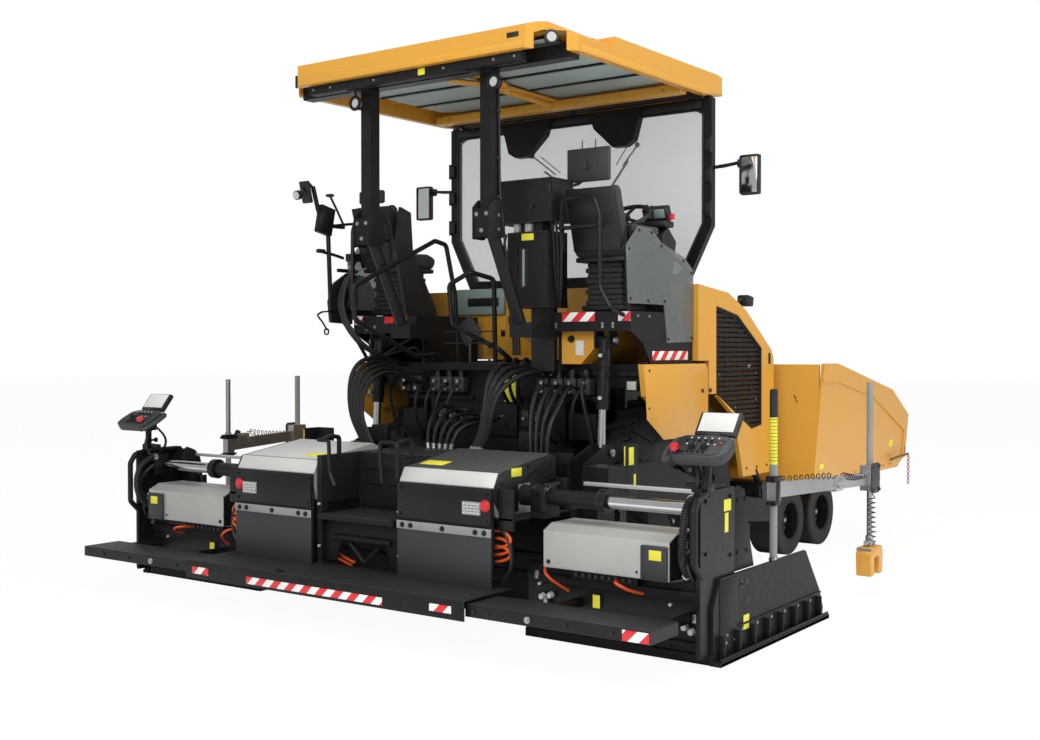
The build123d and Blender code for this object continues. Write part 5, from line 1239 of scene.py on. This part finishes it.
# %% Vents, front strips and heater cables
piece("vents_SIDE", dark_plastic, "extender_SIDE", edge=3,
      boxes=[(-2420, -2388, -1905, -1475, 384, 430)]
      + [(-2428, -2420, y, y + 22, 392, 422) for y in range(-1880, -1500, 44)])
piece("vent_slots_SIDE", grey_paint, "extender_SIDE", edge=1,
      boxes=[(-2430, -2428, y, y + 4, 398, 416) for y in range(-1864, -1500, 44)])
piece("extender_front_SIDE", black_paint, "extender_SIDE", edge=4,
      boxes=[(-2392, -2370, -2300, -1150, 330, 380), (-2400, -2370, -2300, -1150, 60, 110)],
      bolts=[((-2400, y, 85), REAR, 12) for y in range(-2250, -1190, 150)]
      + [((-2392, y, 355), REAR, 9) for y in (-2260, -2140, -1420, -1300)])
piece("extender_knobs_SIDE", pale_plastic, "extender_SIDE",
      rods=[((-2392, y, z), (-2420, y, z), 20, 16)
            for y, z in ((-1262, 250), (-1320, 262), (-2230, 170), (-2190, 190))]
      + [((-2392, y, z), (-2405, y, z), 9) for y, z in ((-1240, 320), (-2270, 240), (-2100, 300))])
piece("extender_clips_SIDE", zinc, "extender_SIDE",
      boxes=[(-2410, -2392, y, y + 26, z, z + 46)
             for y, z in ((-2290, 380), (-2262, 220), (-1238, 350), (-1300, 200))])
piece("heater_cables_SIDE", orange_sleeve, "extender_SIDE",
      hoses=[([(-2400, -1780, 400), (-2500, -1800, 410), (-2540, -1860, 400), (-2480, -1910, 360),
               (-2395, -1930, 340)], 9),
             ([(-2400, -1300, 430), (-2490, -1330, 430), (-2520, -1380, 390), (-2460, -1421, 340),
               (-2395, -1440, 300)], 9)])
tell("Vents, front strips and heater cables")

# %% [markdown]
# Corrugated hoses carry the wiring from the console to the extender's box. A corrugated hose is
# a thin tube with a round fold every 14 mm, one spun ring each.

# %% Extender hoses
piece("bellows_hoses_SIDE", hose_rubber, "extender_SIDE",
      bellows=[([(-2420, -2240, 880), (-2500, -2250, 860), (-2560, -2262, 740), (-2550, -2250, 600),
                 (-2470, -2220, 520), (-2390, -2200, 470)], 24),
               ([(-2420, -2240, 820), (-2490, -2280, 760), (-2510, -2290, 640), (-2440, -2260, 560),
                 (-2390, -2240, 540)], 18)],
      hoses=[([(-2400, -2260, 1110), (-2440, -2285, 1040), (-2450, -2290, 940), (-2420, -2250, 880)], 11),
             ([(-2390, -2200, 640), (-2480, -2230, 600), (-2500, -2270, 480), (-2400, -2280, 400)], 13),
             ([(-2100, -2290, 780), (-2080, -2275, 880), (-2090, -2240, 820), (-2110, -2225, 730)], 13)])
piece("bellows_fittings_SIDE", zinc, "extender_SIDE",
      rods=[((-2425, -2240, 880), (-2395, -2238, 884), 27), ((-2400, -2200, 470), (-2385, -2198, 462), 26),
            ((-2395, -2240, 540), (-2380, -2236, 535), 20), ((-2400, -2280, 400), (-2380, -2280, 392), 17),
            ((-2480, -2230, 604), (-2450, -2222, 616), 17)])
tell("Extender hoses")

# %% [markdown]
# The extender's walkway is tread plate, on the right with the same film on its outer end. The
# thick end plate carries four bolts, and the console stands on a bent post above it.

# %% Extender walkway and plates
piece("extender_tread_SIDE", tread, "extender_SIDE", edge=0.5, boxes=[(-2968, -2682, -2298, -1142, 281, 284)])
piece("extender_film", warning_film, "extender_right", boxes=[(-2971.5, -2969.5, -2296, -2140, 221, 277)])
piece("walkway_latch_SIDE", zinc, "extender_SIDE", rods=[((-2970, -1560, 250), (-2980, -1560, 250), 20, 18)],
      bolts=[((-2980, -1560, 250), REAR, 10)])
piece("walkway_rear_bolts_SIDE", dark_plastic, "extender_SIDE",
      bolts=[((-2970, y, 248), REAR, 11) for y in (-1200, -1300, -1800, -2080)])
piece("end_plate_edge_SIDE", frame_paint, "extender_SIDE", edge=4,
      boxes=[(-2504, -2496, -2335, -2308, 60, 925), (-2450, -2150, -2314, -2250, 925, 945),
             (-2420, -2380, -2316, -2200, 945, 975)],
      bolts=[((x, -2334, z), RIGHT, 12) for x, z in ((-2440, 880), (-2150, 880), (-2440, 600), (-2150, 560))])
piece("console_post_SIDE", frame_paint, "extender_SIDE", edge=5,
      boxes=[(-2440, -2360, -2345, -2295, 930, 975)],
      tubes=[([(-2400, -2320, 1110), (-2400, -2320, 1020), (-2420, -2320, 960)], 24)],
      rods=[((-2400, -2290, 1000), (-2400, -2340, 1000), 10), ((-2340, -2320, 1000), (-2400, -2320, 1000), 8),
            ((-2340, -2320, 1000), (-2328, -2320, 1000), 18)],
      hoops=[((-2400, -2320, 1080), UP, 27, 6)])
tell("Extender walkway and plates")

# %% [markdown]
# ## Consoles
# The console is a grey moulded panel with grips at both ends, two black knobs, a red stop button
# and small switches. The panel's pieces are made level and leaned together. The screen stands
# for the model's console.

# %% Consoles
panel_line = [(-2570, -2190), (-2580, -2230), (-2580, -2430), (-2560, -2480), (-2500, -2498), (-2400, -2490),
              (-2368, -2440), (-2362, -2330), (-2368, -2190), (-2400, -2160), (-2520, -2160)]
face_line = [(-2555, -2200), (-2565, -2240), (-2565, -2420), (-2545, -2460), (-2420, -2450), (-2385, -2330),
             (-2390, -2200), (-2420, -2180), (-2520, -2180)]
knob_ys = (-2290, -2360)
console = piece("console_panel_SIDE", grey_plastic, "extender_SIDE", edge=14,
                plates=[(panel_line, "z", 1122, 62)])
console += piece("console_face_SIDE", dark_plastic, "extender_SIDE", edge=3,
                 plates=[(face_line, "z", 1184, 3)],
                 rods=[((-2500, y, 1186), (-2500, y, 1222), 19, 15) for y in knob_ys]
                 + [((-2540, y, 1186), (-2540, y, 1198), 7) for y in range(-2250, -2371, -30)]
                 + [((-2430, y, 1186), (-2430, y, 1196), 8) for y in range(-2230, -2375, -36)],
                 hoops=[((-2500, y, 1187), UP, 26, 4) for y in knob_ys])
console += piece("console_grips_SIDE", grey_plastic, "extender_SIDE",
                 tubes=[([(x, y, 1150) for x, y in ((-2560, -2175), (-2585, -2150), (-2480, -2128),
                                                    (-2380, -2140), (-2370, -2170))], 17, 50)])
console += piece("console_marks_SIDE", white_paint, "extender_SIDE", edge=0.3,
                 boxes=[(x, x + 10, y, y + 10, 1187, 1188.2)
                        for x in (-2470, -2410) for y in range(-2250, -2411, -40)])
console += piece("console_stop_SIDE", red_plastic, "extender_SIDE",
                 rods=[((-2540, -2210, 1186), (-2540, -2210, 1206), 12),
                       ((-2540, -2210, 1204), (-2540, -2210, 1224), 27, 23)],
                 boxes=[(-2460, -2448, -2440, -2425, 1187, 1193)])
tell("Consoles")

# %% [markdown]
# The panel leans towards the person at it. The screen has its own tilt, on a clamp and a lead.

# %% Leaning the panel
panel_lean = -28
middle = place(-2470, 0, 1150)
lean = Matrix.Translation(middle) @ Matrix.Rotation(radians(panel_lean), 4, "Y") @ Matrix.Translation(-middle)
for made in console:
    made.data.transform(lean)
print(len(console), "pieces leaned by", -panel_lean, "degrees")

# %% Screens
screen_turn = ("Y", 38)
piece("console_screen_SIDE", dark_plastic, "extender_SIDE", edge=8, stands_for=["screed_console_SIDE"],
      boxes=[(-2318, -2284, -2462, -2218, 1200, 1350, screen_turn), (-2385, -2290, -2380, -2300, 1140, 1235)])
piece("console_display_SIDE", white_paint, "extender_SIDE", edge=0.5,
      boxes=[(-2315, -2311, -2444, -2236, 1231, 1351, screen_turn)])
piece("console_display_bar_SIDE", pale_green_paint, "extender_SIDE", edge=0.3,
      boxes=[(-2353, -2349, -2444, -2236, 1196, 1214, screen_turn)])
piece("console_clamp_SIDE", dark_plastic, "extender_SIDE", edge=8,
      boxes=[(-2450, -2350, -2370, -2280, 1075, 1122)],
      rods=[((-2350, -2330, 1180), (-2310, -2330, 1225), 18)],
      hoops=[((-2460, -2325, 1095), FRONT, 22, 7)])
piece("console_lead_SIDE", hose_rubber, "extender_SIDE",
      hoses=[([(-2400, -2270, 1120), (-2360, -2240, 1080), (-2300, -2240, 1010), (-2290, -2270, 940),
               (-2330, -2290, 905)], 9)])
tell("Screens")

# %% [markdown]
# ## End gates
# The end gate keeps the mix in at the screed's end. It is a plate with slots and bolts on a long
# ski, joined by ribs. The ski's shoe is worn bright at the edge.

# %% End gates
ribs = range(-2330, -999, 190)
piece("gate_ribs_SIDE", black_paint, "gate_SIDE", edge=3,
      plates=[([(x, 25), (x, 150), (x + 14, 150), (x + 14, 25)], "y", -2390, 38) for x in ribs],
      boxes=[(-2385, -900, -2398, -2388, 25, 42), (-2100, -930, -2362, -2355, 160, 172),
             (-2320, -2100, -2358, -2354, 60, 440)])
piece("gate_bolts_SIDE", zinc, "gate_SIDE",
      bolts=[((x + 95, -2355, 140), RIGHT, 9) for x in ribs[:-1]]
      + [((x, -2355, z), RIGHT, 9) for x, z in ((-2250, 100), (-2150, 100))])
# The slots are dark discs on the plate: painted shade in place of the holes.
piece("gate_slots_SIDE", dark_plastic, "gate_SIDE",
      rods=[((x, -2354.5, z), (x, -2356.5, z), 17)
            for x, z in ((-2060, 380), (-1990, 395), (-1985, 290), (-2060, 400), (-2260, 200), (-2180, 230))])
piece("gate_sticker_SIDE", yellow_sleeve, "gate_SIDE", boxes=[(-2030, -1960, -2357.5, -2355, 130, 210)])
piece("gate_shoe_SIDE", bare_steel, "gate_SIDE", edge=3, boxes=[(-2392, -900, -2400, -2394, 2, 20)])
hoist = [(-2100, 457), (-2100, 900), (-2040, 930), (-1960, 900), (-1900, 640), (-1840, 457)]
piece("gate_guides_SIDE", black_paint, "extender_SIDE", edge=4, plates=[(hoist, "y", -2330, 14)],
      boxes=[(-2020, -1980, -2316, -2260, 500, 860), (-1900, -1860, -2316, -2305, 470, 700)],
      bolts=[((x, -2330, z), RIGHT, 11) for x, z in ((-2060, 850), (-1960, 850), (-1940, 560), (-2060, 560))])
piece("gate_hoses_SIDE", hose_rubber, "extender_SIDE",
      hoses=[([(-2060, -2280, 860), (-1990, -2270, 900), (-1945, -2275, 780), (-1940, -2280, 600),
               (-1990, -2280, 470)], 11),
             ([(-2090, -2260, 700), (-2000, -2255, 760), (-1950, -2260, 640), (-1960, -2262, 500)], 11)])
tell("End gates")

# %% [markdown]
# ## Averaging beams
# Poles stand on the end gates and hold a light alloy beam with sensors that feel the ground.
# The right rear pole carries a yellow scale with black ticks, and coiled cables run along the
# beams. The two sides stand differently, so each has its own places in the loop's table.

# %% Averaging beams
pole_x, pole_y = -1610, 2344         # the rear poles
for side, way, front_pole, low, high, foot in (("right", -1, -30, 820, 760, 145),
                                               ("left", 1, -850, 870, 910, 300)):
    y = way * pole_y
    body = "gate_" + side
    if side == "right":
        piece("pole_cap", dark_plastic, body,
              rods=[((pole_x, y, 1287), (pole_x, y, 1443), 24), ((pole_x, y, 1443), (pole_x, y, 1450), 20)])
        piece("pole_scale", yellow_sleeve, body, rods=[((pole_x, y, 1014), (pole_x, y, 1287), 23)])
        piece("pole_ticks", dark_plastic, body,
              rods=[((pole_x, y, z), (pole_x, y, z + 3), 23.6) for z in range(1034, 1281, 20)])
    piece("pole_tubes_" + side, grey_paint, body,
          rods=[((pole_x, y, 903), (pole_x, y, 1014), 25), ((pole_x, y, 475), (pole_x, y, low - 24), 22),
                ((front_pole, y, high + 130), (front_pole, y, 1452), 22)])
    piece("pole_clamp_" + side, frame_paint, body, edge=4,
          boxes=[(-1660, -1560, y - 29, y + 29, low + 92, low + 128),
                 (-1650, -1570, y - 28, y + 28, low - 44, low - 16),
                 (-1632, -1588, way * 2372, way * 2378, low - 20, low + 100)],
          rods=[((-1690, y, low + dz), (-1530, y, low + dz), 9) for dz in (108, -30)])
    piece("beam_joint_" + side, zinc, body, edge=4,
          boxes=[(front_pole - 680, front_pole - 560, way * 2316, way * 2372, high + 10, high + 92)],
          rods=[((front_pole - 650, way * 2372, high + 50), (front_pole - 650, way * 2392, high + 50), 22),
                ((front_pole - 590, way * 2372, high + 50), (front_pole - 590, way * 2392, high + 50), 16)])
    plate = [(front_pole + dx, high + dz) for dx, dz in ((-92, -40), (-92, 130), (-74, 148), (44, 148),
                                                         (62, 130), (62, -40), (44, -58), (-74, -58))]
    piece("beam_plate_" + side, grey_plastic, body, edge=4, plates=[(plate, "y", way * 2384, way * 10)],
          bolts=[((front_pole + dx, way * 2394, high + dz), (0, way, 0), 13)
                 for dx in (-70, 40) for dz in (-34, 124)],
          rods=[((front_pole + 62, y, high + 40), (front_pole + 110, y, high + 40), 30),
                ((front_pole + 70, y, high + 40), (front_pole + 84, y, high + 40), 44)])
    piece("sensor_coils_" + side, hose_rubber, body,
          coils=[((-1540, y - way * 10, low + 96), (front_pole - 640, y + way * 18, high + 112), 20, 3.5, 9),
                 ((front_pole - 560, y + way * 10, high + 100), (front_pole - 90, y, high + 60), 24, 3.5, 10, 10),
                 ((front_pole - 40, y + way * 30, high - 60), (front_pole - 20, y + way * 30, foot + 200),
                  22, 3.5, 9)])
    piece("sensor_grip_" + side, zinc, body, edge=4,
          boxes=[(front_pole - 34, front_pole + 34, y - 30, y + 30, foot + 185, foot + 225)],
          rods=[((front_pole, y, foot + 225), (front_pole, y, foot + 262), 26),
                ((front_pole - 40, y, foot + 205), (front_pole - 66, y, foot + 215), 14)])
    yoke = [(front_pole + dx, foot + dz)
            for dx, dz in ((-113, -3), (-122, 150), (-92, 190), (92, 190), (122, 150), (113, -3),
                           (47, -3), (47, 110), (30, 124), (-30, 124), (-47, 110), (-47, -3))]
    piece("sensor_yoke_" + side, yellow_paint, body, edge=7, plates=[(yoke, "y", y - 53, 106)])
    piece("pole_foot_" + side, bare_steel, body, edge=3,
          boxes=[(-1650, -1570, y - 12, y + 12, 456, 476)],
          bolts=[((x, y, 476), UP, 8) for x in (-1635, -1585)])
tell("Averaging beams")

# %% [markdown]
# ## Engine cowl outside
# The cowl is folded and welded sheet. Its hatches have thin gaps, round locks and rubber
# stops, a bent tube frames the louvres, and a lamp pod on a bent tube stands beside the hood.

# %% Hatches, locks and lamp pods
hatch_face = [(-380, 1580), (-345, 1545), (-345, 1072), (-980, 1072), (-1208, 1218), (-1246, 1580)]
piece("hatch_faces_SIDE", yellow_paint, edge=4, plates=[(hatch_face, "y", -1273, 3.5)])
piece("hatch_locks_SIDE", dark_plastic,
      rods=[((x, -1270, z), (x, -1279, z), 17, 14) for x, z in ((-426, 1387), (-303, 1387))]
      + [((x, -1273, z), (x, -1277, z), 8) for x, z in ((-1180, 1540), (-1180, 1290), (-420, 1110))],
      boxes=[(690, 716, -1279, -1270, 1566, 1652)], edge=4)
piece("louvre_frames_SIDE", black_paint, edge=2,
      tubes=[([(x, -1266, z) for x, z in ((-190, 1378), (-200, 1985), (150, 1925), (558, 1685), (560, 1105),
                                          (392, 1085), (-190, 1378))], 7, 12)])
piece("louvre_latches_SIDE", zinc,
      tubes=[([(380, -1262, 1560), (350, -1262, 1560), (350, -1262, 1540)], 5, 8)],
      bolts=[((x, -1262, z), RIGHT, 7) for x, z in ((480, 1300), (470, 1500), (-150, 1500), (120, 1250))])
piece("hood_seams", dark_plastic, "hood", edge=1,
      tubes=[([(20, s * 1096, 2096), (290, s * 1096, 1979), (740, s * 1096, 1685)], 4, 20) for s in (-1, 1)])
piece("hood_handles", dark_plastic, "hood", edge=4,
      boxes=[(700, 742, s * 500 - 60, s * 500 + 60, 1690, 1712, ("Y", 32)) for s in (-1, 1)])
hood_slope = 0.41                    # the lid's fall over its run, about 22 degrees
piece("hood_grilles", black_paint, "hood",
      boxes=[(x, x + 14, s * 260, s * 760, 2012 - (x - 150) * hood_slope, 2020 - (x - 150) * hood_slope,
              ("Y", 22)) for s in (-1, 1) for x in range(60, 270, 26)])
piece("lamp_pods_SIDE", dark_plastic, edge=12,
      boxes=[(790, 900, -1050, -950, 2030, 2110, ("Y", 8)), (742, 760, -990, -960, 1660, 1740)],
      tubes=[([(745, -975, 1700), (745, -975, 1980), (760, -975, 2060), (800, -990, 2080)], 14)])
piece("lamp_pod_lens_SIDE", pale_plastic, edge=4,
      boxes=[(899, 905, -1040, -960, 2040, 2096, ("Y", 8))])
piece("cowl_lower_bolts_SIDE", dark_plastic,
      bolts=[((x, -1270, z), RIGHT, 9)
             for x, z in ((300, 780), (480, 780), (660, 780), (740, 960), (740, 1300))])
tell("Hatches, locks and lamp pods")

# %% [markdown]
# ## Hopper
# The hopper wing is sheet steel with a folded rim. Rubber lips with a toothed edge close its
# front corner, a gas strut leans on its rear wall, and a safety chain hangs from a guide bar.

# %% Hopper wings
piece("wing_teeth_SIDE", yellow_paint, "wing_SIDE", edge=5,
      boxes=[(3096, 3122, -1566 + n * 5, -1540 + n * 5, 1034 - 62 * n, 1074 - 62 * n) for n in range(6)])
piece("wing_lip_SIDE", solid_rubber, "wing_SIDE", edge=4,
      boxes=[(3108, 3120, -1545, -1515, 720, 980), (3030, 3042, -1490, -780, 640, 800)],
      bolts=[((3042, y, 760), FRONT, 11) for y in range(-1450, -790, 110)])
piece("wing_strut_SIDE", frame_paint, "wing_SIDE",
      rods=[((985, -1305, 1400), (985, -1375, 1290), 9), ((985, -1255, 1475), (985, -1305, 1400), 5)])
piece("wing_strut_end_SIDE", brass, "wing_SIDE", rods=[((985, -1375, 1290), (985, -1392, 1262), 11)],
      bolts=[((990, -1250, 1480), REAR, 10)])
piece("wing_stickers_SIDE", yellow_sleeve, "wing_SIDE",
      boxes=[(2700, 2790, -1538, -1534, 800, 860, ("X", 4.7)), (1090, 1180, -1532, -1528, 720, 765, ("X", 4.7))])
piece("wing_ribs_SIDE", yellow_paint, "wing_SIDE", edge=4,
      boxes=[(1600, 1640, -1490, -1100, 588, 599), (2600, 2640, -1490, -800, 588, 599)],
      bolts=[((1700 + 180 * n, -1524, 640), RIGHT, 10) for n in range(7)])
piece("wing_liner_SIDE", bare_steel, "wing_SIDE", edge=1, boxes=[(1010, 2990, -1485, -760, 615.5, 618)])
piece("hopper_wall_plates", bare_steel, edge=1, boxes=[(950.5, 954, -700, 700, 1010, 1560)])
piece("hopper_wall_bolts", bare_steel,
      rods=[((950, y, z), (954.6, y, z), 13) for y in (-520, -260, 0, 260, 520) for z in (1060, 1500)])
tell("Hopper wings")

# %% [markdown]
# The conveyors drag the mix rearwards on two loops of chain. Each loop shows its links between
# the crossbars, as short bars along its edges.

# %% Conveyor chains and apron
piece("conveyor_chains", bare_steel, edge=3,
      boxes=[(x, x + 62, y, y + 26, 541, 556) for y in (-600, -60, 34, 574) for x in range(980, 2820, 80)])
piece("apron_rubber", solid_rubber, "apron", edge=2, boxes=[(3022, 3030, -690, 690, 640, 770)],
      bolts=[((3030, y, 700), FRONT, 11) for y in range(-640, 641, 160)])
piece("chain_guides_SIDE", brass,
      rods=[((2960, -705, 470), (3060, -740, 478), 11)],
      boxes=[(2950, 3000, -720, -682, 440, 500)], edge=4)
piece("guide_pointer", brass, "wing_right", rods=[((2680, -1560, 690), (3020, -1600, 720), 12)],
      bolts=[((2700, -1560, 690), RIGHT, 13)])
chain_spots = [(3020 + 4 * (n % 2), -1604, 706 - 21 * n) for n in range(13)]
piece("guide_chain", red_paint, "wing_right",
      hoops=[(spot, FRONT if n % 2 else LEFT, 11, 3.4, 12, 6) for n, spot in enumerate(chain_spots)])
tell("Conveyor chains and apron")

# %% [markdown]
# ## Push beam and rollers
# The push rollers carry the lorry's tyres. The beam between them is a welded box on a bolted
# middle plate, with towing eyes at both ends and worn roller faces.

# %% Push beam
piece("push_plates", black_paint, edge=4,
      boxes=[(3188, 3196, y - 90, y + 90, 372, 508) for y in (-420, 420)] + [(3064, 3070, -230, 230, 370, 510)],
      hoops=[((3205, s * 745, 440), LEFT, 22, 8) for s in (-1, 1)],
      bolts=[((3196, y + dy, z), FRONT, 12) for y in (-420, 420) for dy in (-66, 66) for z in (392, 488)])
piece("push_reflectors", red_plastic,
      rods=[((3190, s * 700, 492), (3196, s * 700, 492), 18) for s in (-1, 1)])
roller_x, roller_z = 3268, 440
piece("roller_caps", zinc, "rollers",
      rods=[((roller_x, s * 756, roller_z), (roller_x, s * 764, roller_z), 20) for s in (-1, 1)])
tell("Push beam")

# %% [markdown]
# ## Wheels
# The drive tyre is a spun section with two rows of slanted lugs, on a dished rim with a bolted
# hub. Spinning one section about the axle gives a clean round form with few faces.

# %% Turned rings and bolt circles
def add_turned(bm, section, x, z, steps=64):
    """A closed section of (y, radius) points spun about an axle along Y."""
    ring = [bm.verts.new(place(x, y, z) + Vector((0, 0, radius / 1000))) for y, radius in section]
    sides = [bm.edges.new((a, b)) for a, b in zip(ring, ring[1:] + ring[:1])]
    bmesh.ops.spin(bm, geom=ring + sides, cent=place(x, 0, z), axis=LEFT, angle=2 * pi, steps=steps,
                   use_merge=True)


def bolt_circle(bm, x, y, z, radius, count, size):
    """A ring of bolts that faces the machine's right."""
    for number in range(count):
        angle = 2 * pi * number / count
        add_bolt(bm, (x + radius * cos(angle), y, z + radius * sin(angle)), RIGHT, size)


# %% Drive tyres
axle_x, axle_z = -460, 673
LUGS = 26                            # in each of the two rows
tyre = bmesh.new()
section = [(-790, 335), (-775, 380), (-770, 470), (-772, 560), (-782, 620), (-820, 645),
           (-1165, 645), (-1203, 620), (-1213, 560), (-1215, 470), (-1210, 380), (-1195, 335)]
add_turned(tyre, section, axle_x, axle_z)
for number in range(LUGS):
    for inner, outer, slant, step in ((-784, -1010, 24, 0.0), (-975, -1201, -24, 0.5)):
        lug = add_box(tyre, axle_x - 26, axle_x + 26, inner, outer, axle_z + 628, axle_z + 667, 7, ("Z", slant))
        bmesh.ops.rotate(tyre, cent=place(axle_x, 0, axle_z), verts=lug,
                         matrix=Matrix.Rotation(2 * pi * (number + step) / LUGS, 3, "Y"))
keep_pair("drive_tyre_SIDE", tyre, tyre_rubber, "drive_SIDE", stands_for=["drive_wheel_SIDE"])
tell("Drive tyres")

# %% [markdown]
# The rim is black and dished, with two rings of nuts and a cap. It is spun like the tyre.

# %% Rims and nuts
rim = bmesh.new()
add_turned(rim, [(-790, 338), (-782, 352), (-796, 356), (-812, 330), (-1080, 322), (-1188, 334), (-1204, 356),
                 (-1212, 352), (-1206, 332), (-1100, 300), (-1085, 180), (-1060, 176), (-1060, 296),
                 (-812, 316)], axle_x, axle_z)
add_turned(rim, [(-780.5, 40), (-780.5, 168), (-1060, 172), (-1092, 150), (-1096, 110), (-1120, 96),
                 (-1124, 40)], axle_x, axle_z, 40)
keep_pair("drive_rim_SIDE", rim, black_paint, "drive_SIDE")
nuts = bmesh.new()
bolt_circle(nuts, axle_x, -1088, axle_z, 225, 10, 18)
bolt_circle(nuts, axle_x, -1094, axle_z, 126, 10, 11)
add_rod(nuts, (axle_x, -1120, axle_z), (axle_x, -1130, axle_z), 60, 52, 32)
keep_pair("drive_nuts_SIDE", nuts, zinc, "drive_SIDE")
tell("Rims and nuts")

# %% [markdown]
# The steered wheels are pressed steel with a thick ring of solid rubber. Their discs are black,
# with a ring of nuts and a hub cap.

# %% Steered wheels
road_z = 280
for axle, wheel_x in (("rear", 1200), ("front", 1860)):
    disc = bmesh.new()
    add_turned(disc, [(-1237, 150), (-1238, 168), (-1228, 172), (-1130, 160), (-1128, 62), (-1140, 60),
                      (-1146, 150)], wheel_x, road_z, 40)
    add_turned(disc, [(-1130, 20), (-1130, 62), (-1172, 58), (-1186, 40), (-1190, 20)], wheel_x, road_z, 24)
    add_hoop(disc, (wheel_x, -1236, road_z), LEFT, 172, 5, 40)
    keep_pair("road_disc_" + axle + "_SIDE", disc, black_paint, "roadwheel_" + axle + "_SIDE")
    studs = bmesh.new()
    bolt_circle(studs, wheel_x, -1146, road_z, 108, 8, 13)
    add_rod(studs, (wheel_x, -1186, road_z), (wheel_x, -1194, road_z), 20, 16)
    keep_pair("road_studs_" + axle + "_SIDE", studs, zinc, "roadwheel_" + axle + "_SIDE")
piece("steering_rods", zinc, rods=[((1530, -640, 300), (1530, 640, 300), 16)],
      boxes=[(1500, 1560, s * 640 - 20, s * 640 + 20, 280, 330) for s in (-1, 1)])
piece("bogie_bolts_SIDE", zinc,
      bolts=[((1530, -770, 380), RIGHT, 30)] + [((x, -770, 375), RIGHT, 10) for x in (1350, 1700)])
tell("Steered wheels")

# %% [markdown]
# ## Chassis and augers
# The chassis carries tow points on its sides, rows of bolts, and two work lamps at its rear.
# The augers hang on bolted hangers.

# %% Chassis fittings
piece("tow_point_plates_SIDE", black_paint, edge=4,
      boxes=[(470, 650, -1300, -1292, 380, 640)],
      rods=[((560, -1408, 440), (560, -1424, 440), 58, 50), ((560, -1250, 640), (470, -1250, 760), 26)],
      bolts=[((x, -1300, z), RIGHT, 12) for x, z in ((490, 620), (630, 620))])
piece("tow_cylinders_SIDE", chrome, rods=[((470, -1250, 760), (400, -1250, 850), 15)])
piece("chassis_side_bolts_SIDE", zinc,
      bolts=[((x, -680, z), RIGHT, 13) for x in (-1050, -850, 0, 250, 700) for z in (420, 900)])
piece("auger_hanger_bolts_SIDE", zinc,
      bolts=[((-1440, -1197, z), REAR, 11) for z in (300, 360, 560, 640)])
piece("rear_work_lamps_SIDE", dark_plastic, edge=10,
      boxes=[(-1176, -1136, -1180, -1090, 1400, 1476)])
piece("rear_work_lens_SIDE", pale_plastic, edge=4, boxes=[(-1180, -1176, -1170, -1100, 1410, 1466)])
tell("Chassis fittings")

# %% [markdown]
# ## Floor and light
# A pale floor and a white surround, with three large soft lamps, give the even light of a
# studio. The floor is lifted towards white for the camera alone and keeps a light shadow.

# %% Floor
FLOOR_SIZE, FLOOR_Z = 60, -0.002     # metres, just below the wheels
LIFT = 0.95                          # how far the floor is lifted towards white for the camera
floor_mesh = bpy.data.meshes.new("floor")
bm = bmesh.new()
bmesh.ops.create_grid(bm, x_segments=1, y_segments=1, size=FLOOR_SIZE)
bmesh.ops.translate(bm, vec=(0, 0, FLOOR_Z), verts=bm.verts)
bm.to_mesh(floor_mesh)
bm.free()
floor = bpy.data.objects.new("floor", floor_mesh)
bpy.context.scene.collection.objects.link(floor)
floor_paint, tree, shader, _ = new_material("studio_floor")
shader.inputs["Base Color"].default_value = linear("ffffff")
shader.inputs["Roughness"].default_value = 0.9
glow = add(tree, "ShaderNodeEmission", Color=linear("ffffff"), Strength=1.0)
rays = add(tree, "ShaderNodeLightPath")
share = add(tree, "ShaderNodeMath", {0: rays.outputs["Is Camera Ray"]}, operation="MULTIPLY")
share.inputs[1].default_value = LIFT
mixed = add(tree, "ShaderNodeMixShader", {0: share.outputs[0], 1: shader.outputs[0], 2: glow.outputs[0]})
tree.links.new(mixed.outputs[0], tree.nodes["Material Output"].inputs[0])
floor_mesh.materials.append(floor_paint)
print("floor", FLOOR_SIZE, "m")

# %% Light
world = bpy.data.worlds.new("studio")
bpy.context.scene.world = world
world.use_nodes = True
tree = world.node_tree
tree.nodes.clear()
rays = add(tree, "ShaderNodeLightPath")
seen = add(tree, "ShaderNodeMath", {0: rays.outputs["Is Camera Ray"], 1: rays.outputs["Is Transmission Ray"]},
           operation="MAXIMUM")
soft = add(tree, "ShaderNodeBackground", Color=linear("ffffff"), Strength=0.5)
white = add(tree, "ShaderNodeBackground", Color=linear("ffffff"), Strength=1.0)
mixed = add(tree, "ShaderNodeMixShader", {0: seen.outputs[0], 1: soft.outputs[0], 2: white.outputs[0]})
add(tree, "ShaderNodeOutputWorld", {"Surface": mixed.outputs[0]})


def lamp(name, at, aim, size, power):
    """A large soft lamp that looks at a point."""
    data = bpy.data.lights.new(name, "AREA")
    data.shape = "SQUARE"
    data.size = size
    data.energy = power
    made = bpy.data.objects.new(name, data)
    made.location = at
    made.rotation_euler = (Vector(aim) - Vector(at)).to_track_quat("-Z", "Y").to_euler()
    bpy.context.scene.collection.objects.link(made)
    print(name, power, "W")


lamp("top_lamp", (-2.0, -2.0, 9.0), (0, 0, 1), 7, 480)
lamp("rear_lamp", (-10.0, -3.0, 5.5), (-1, 0, 1.2), 5, 400)
lamp("side_lamp", (1.0, -10.0, 4.5), (0, 0, 1.2), 5, 280)
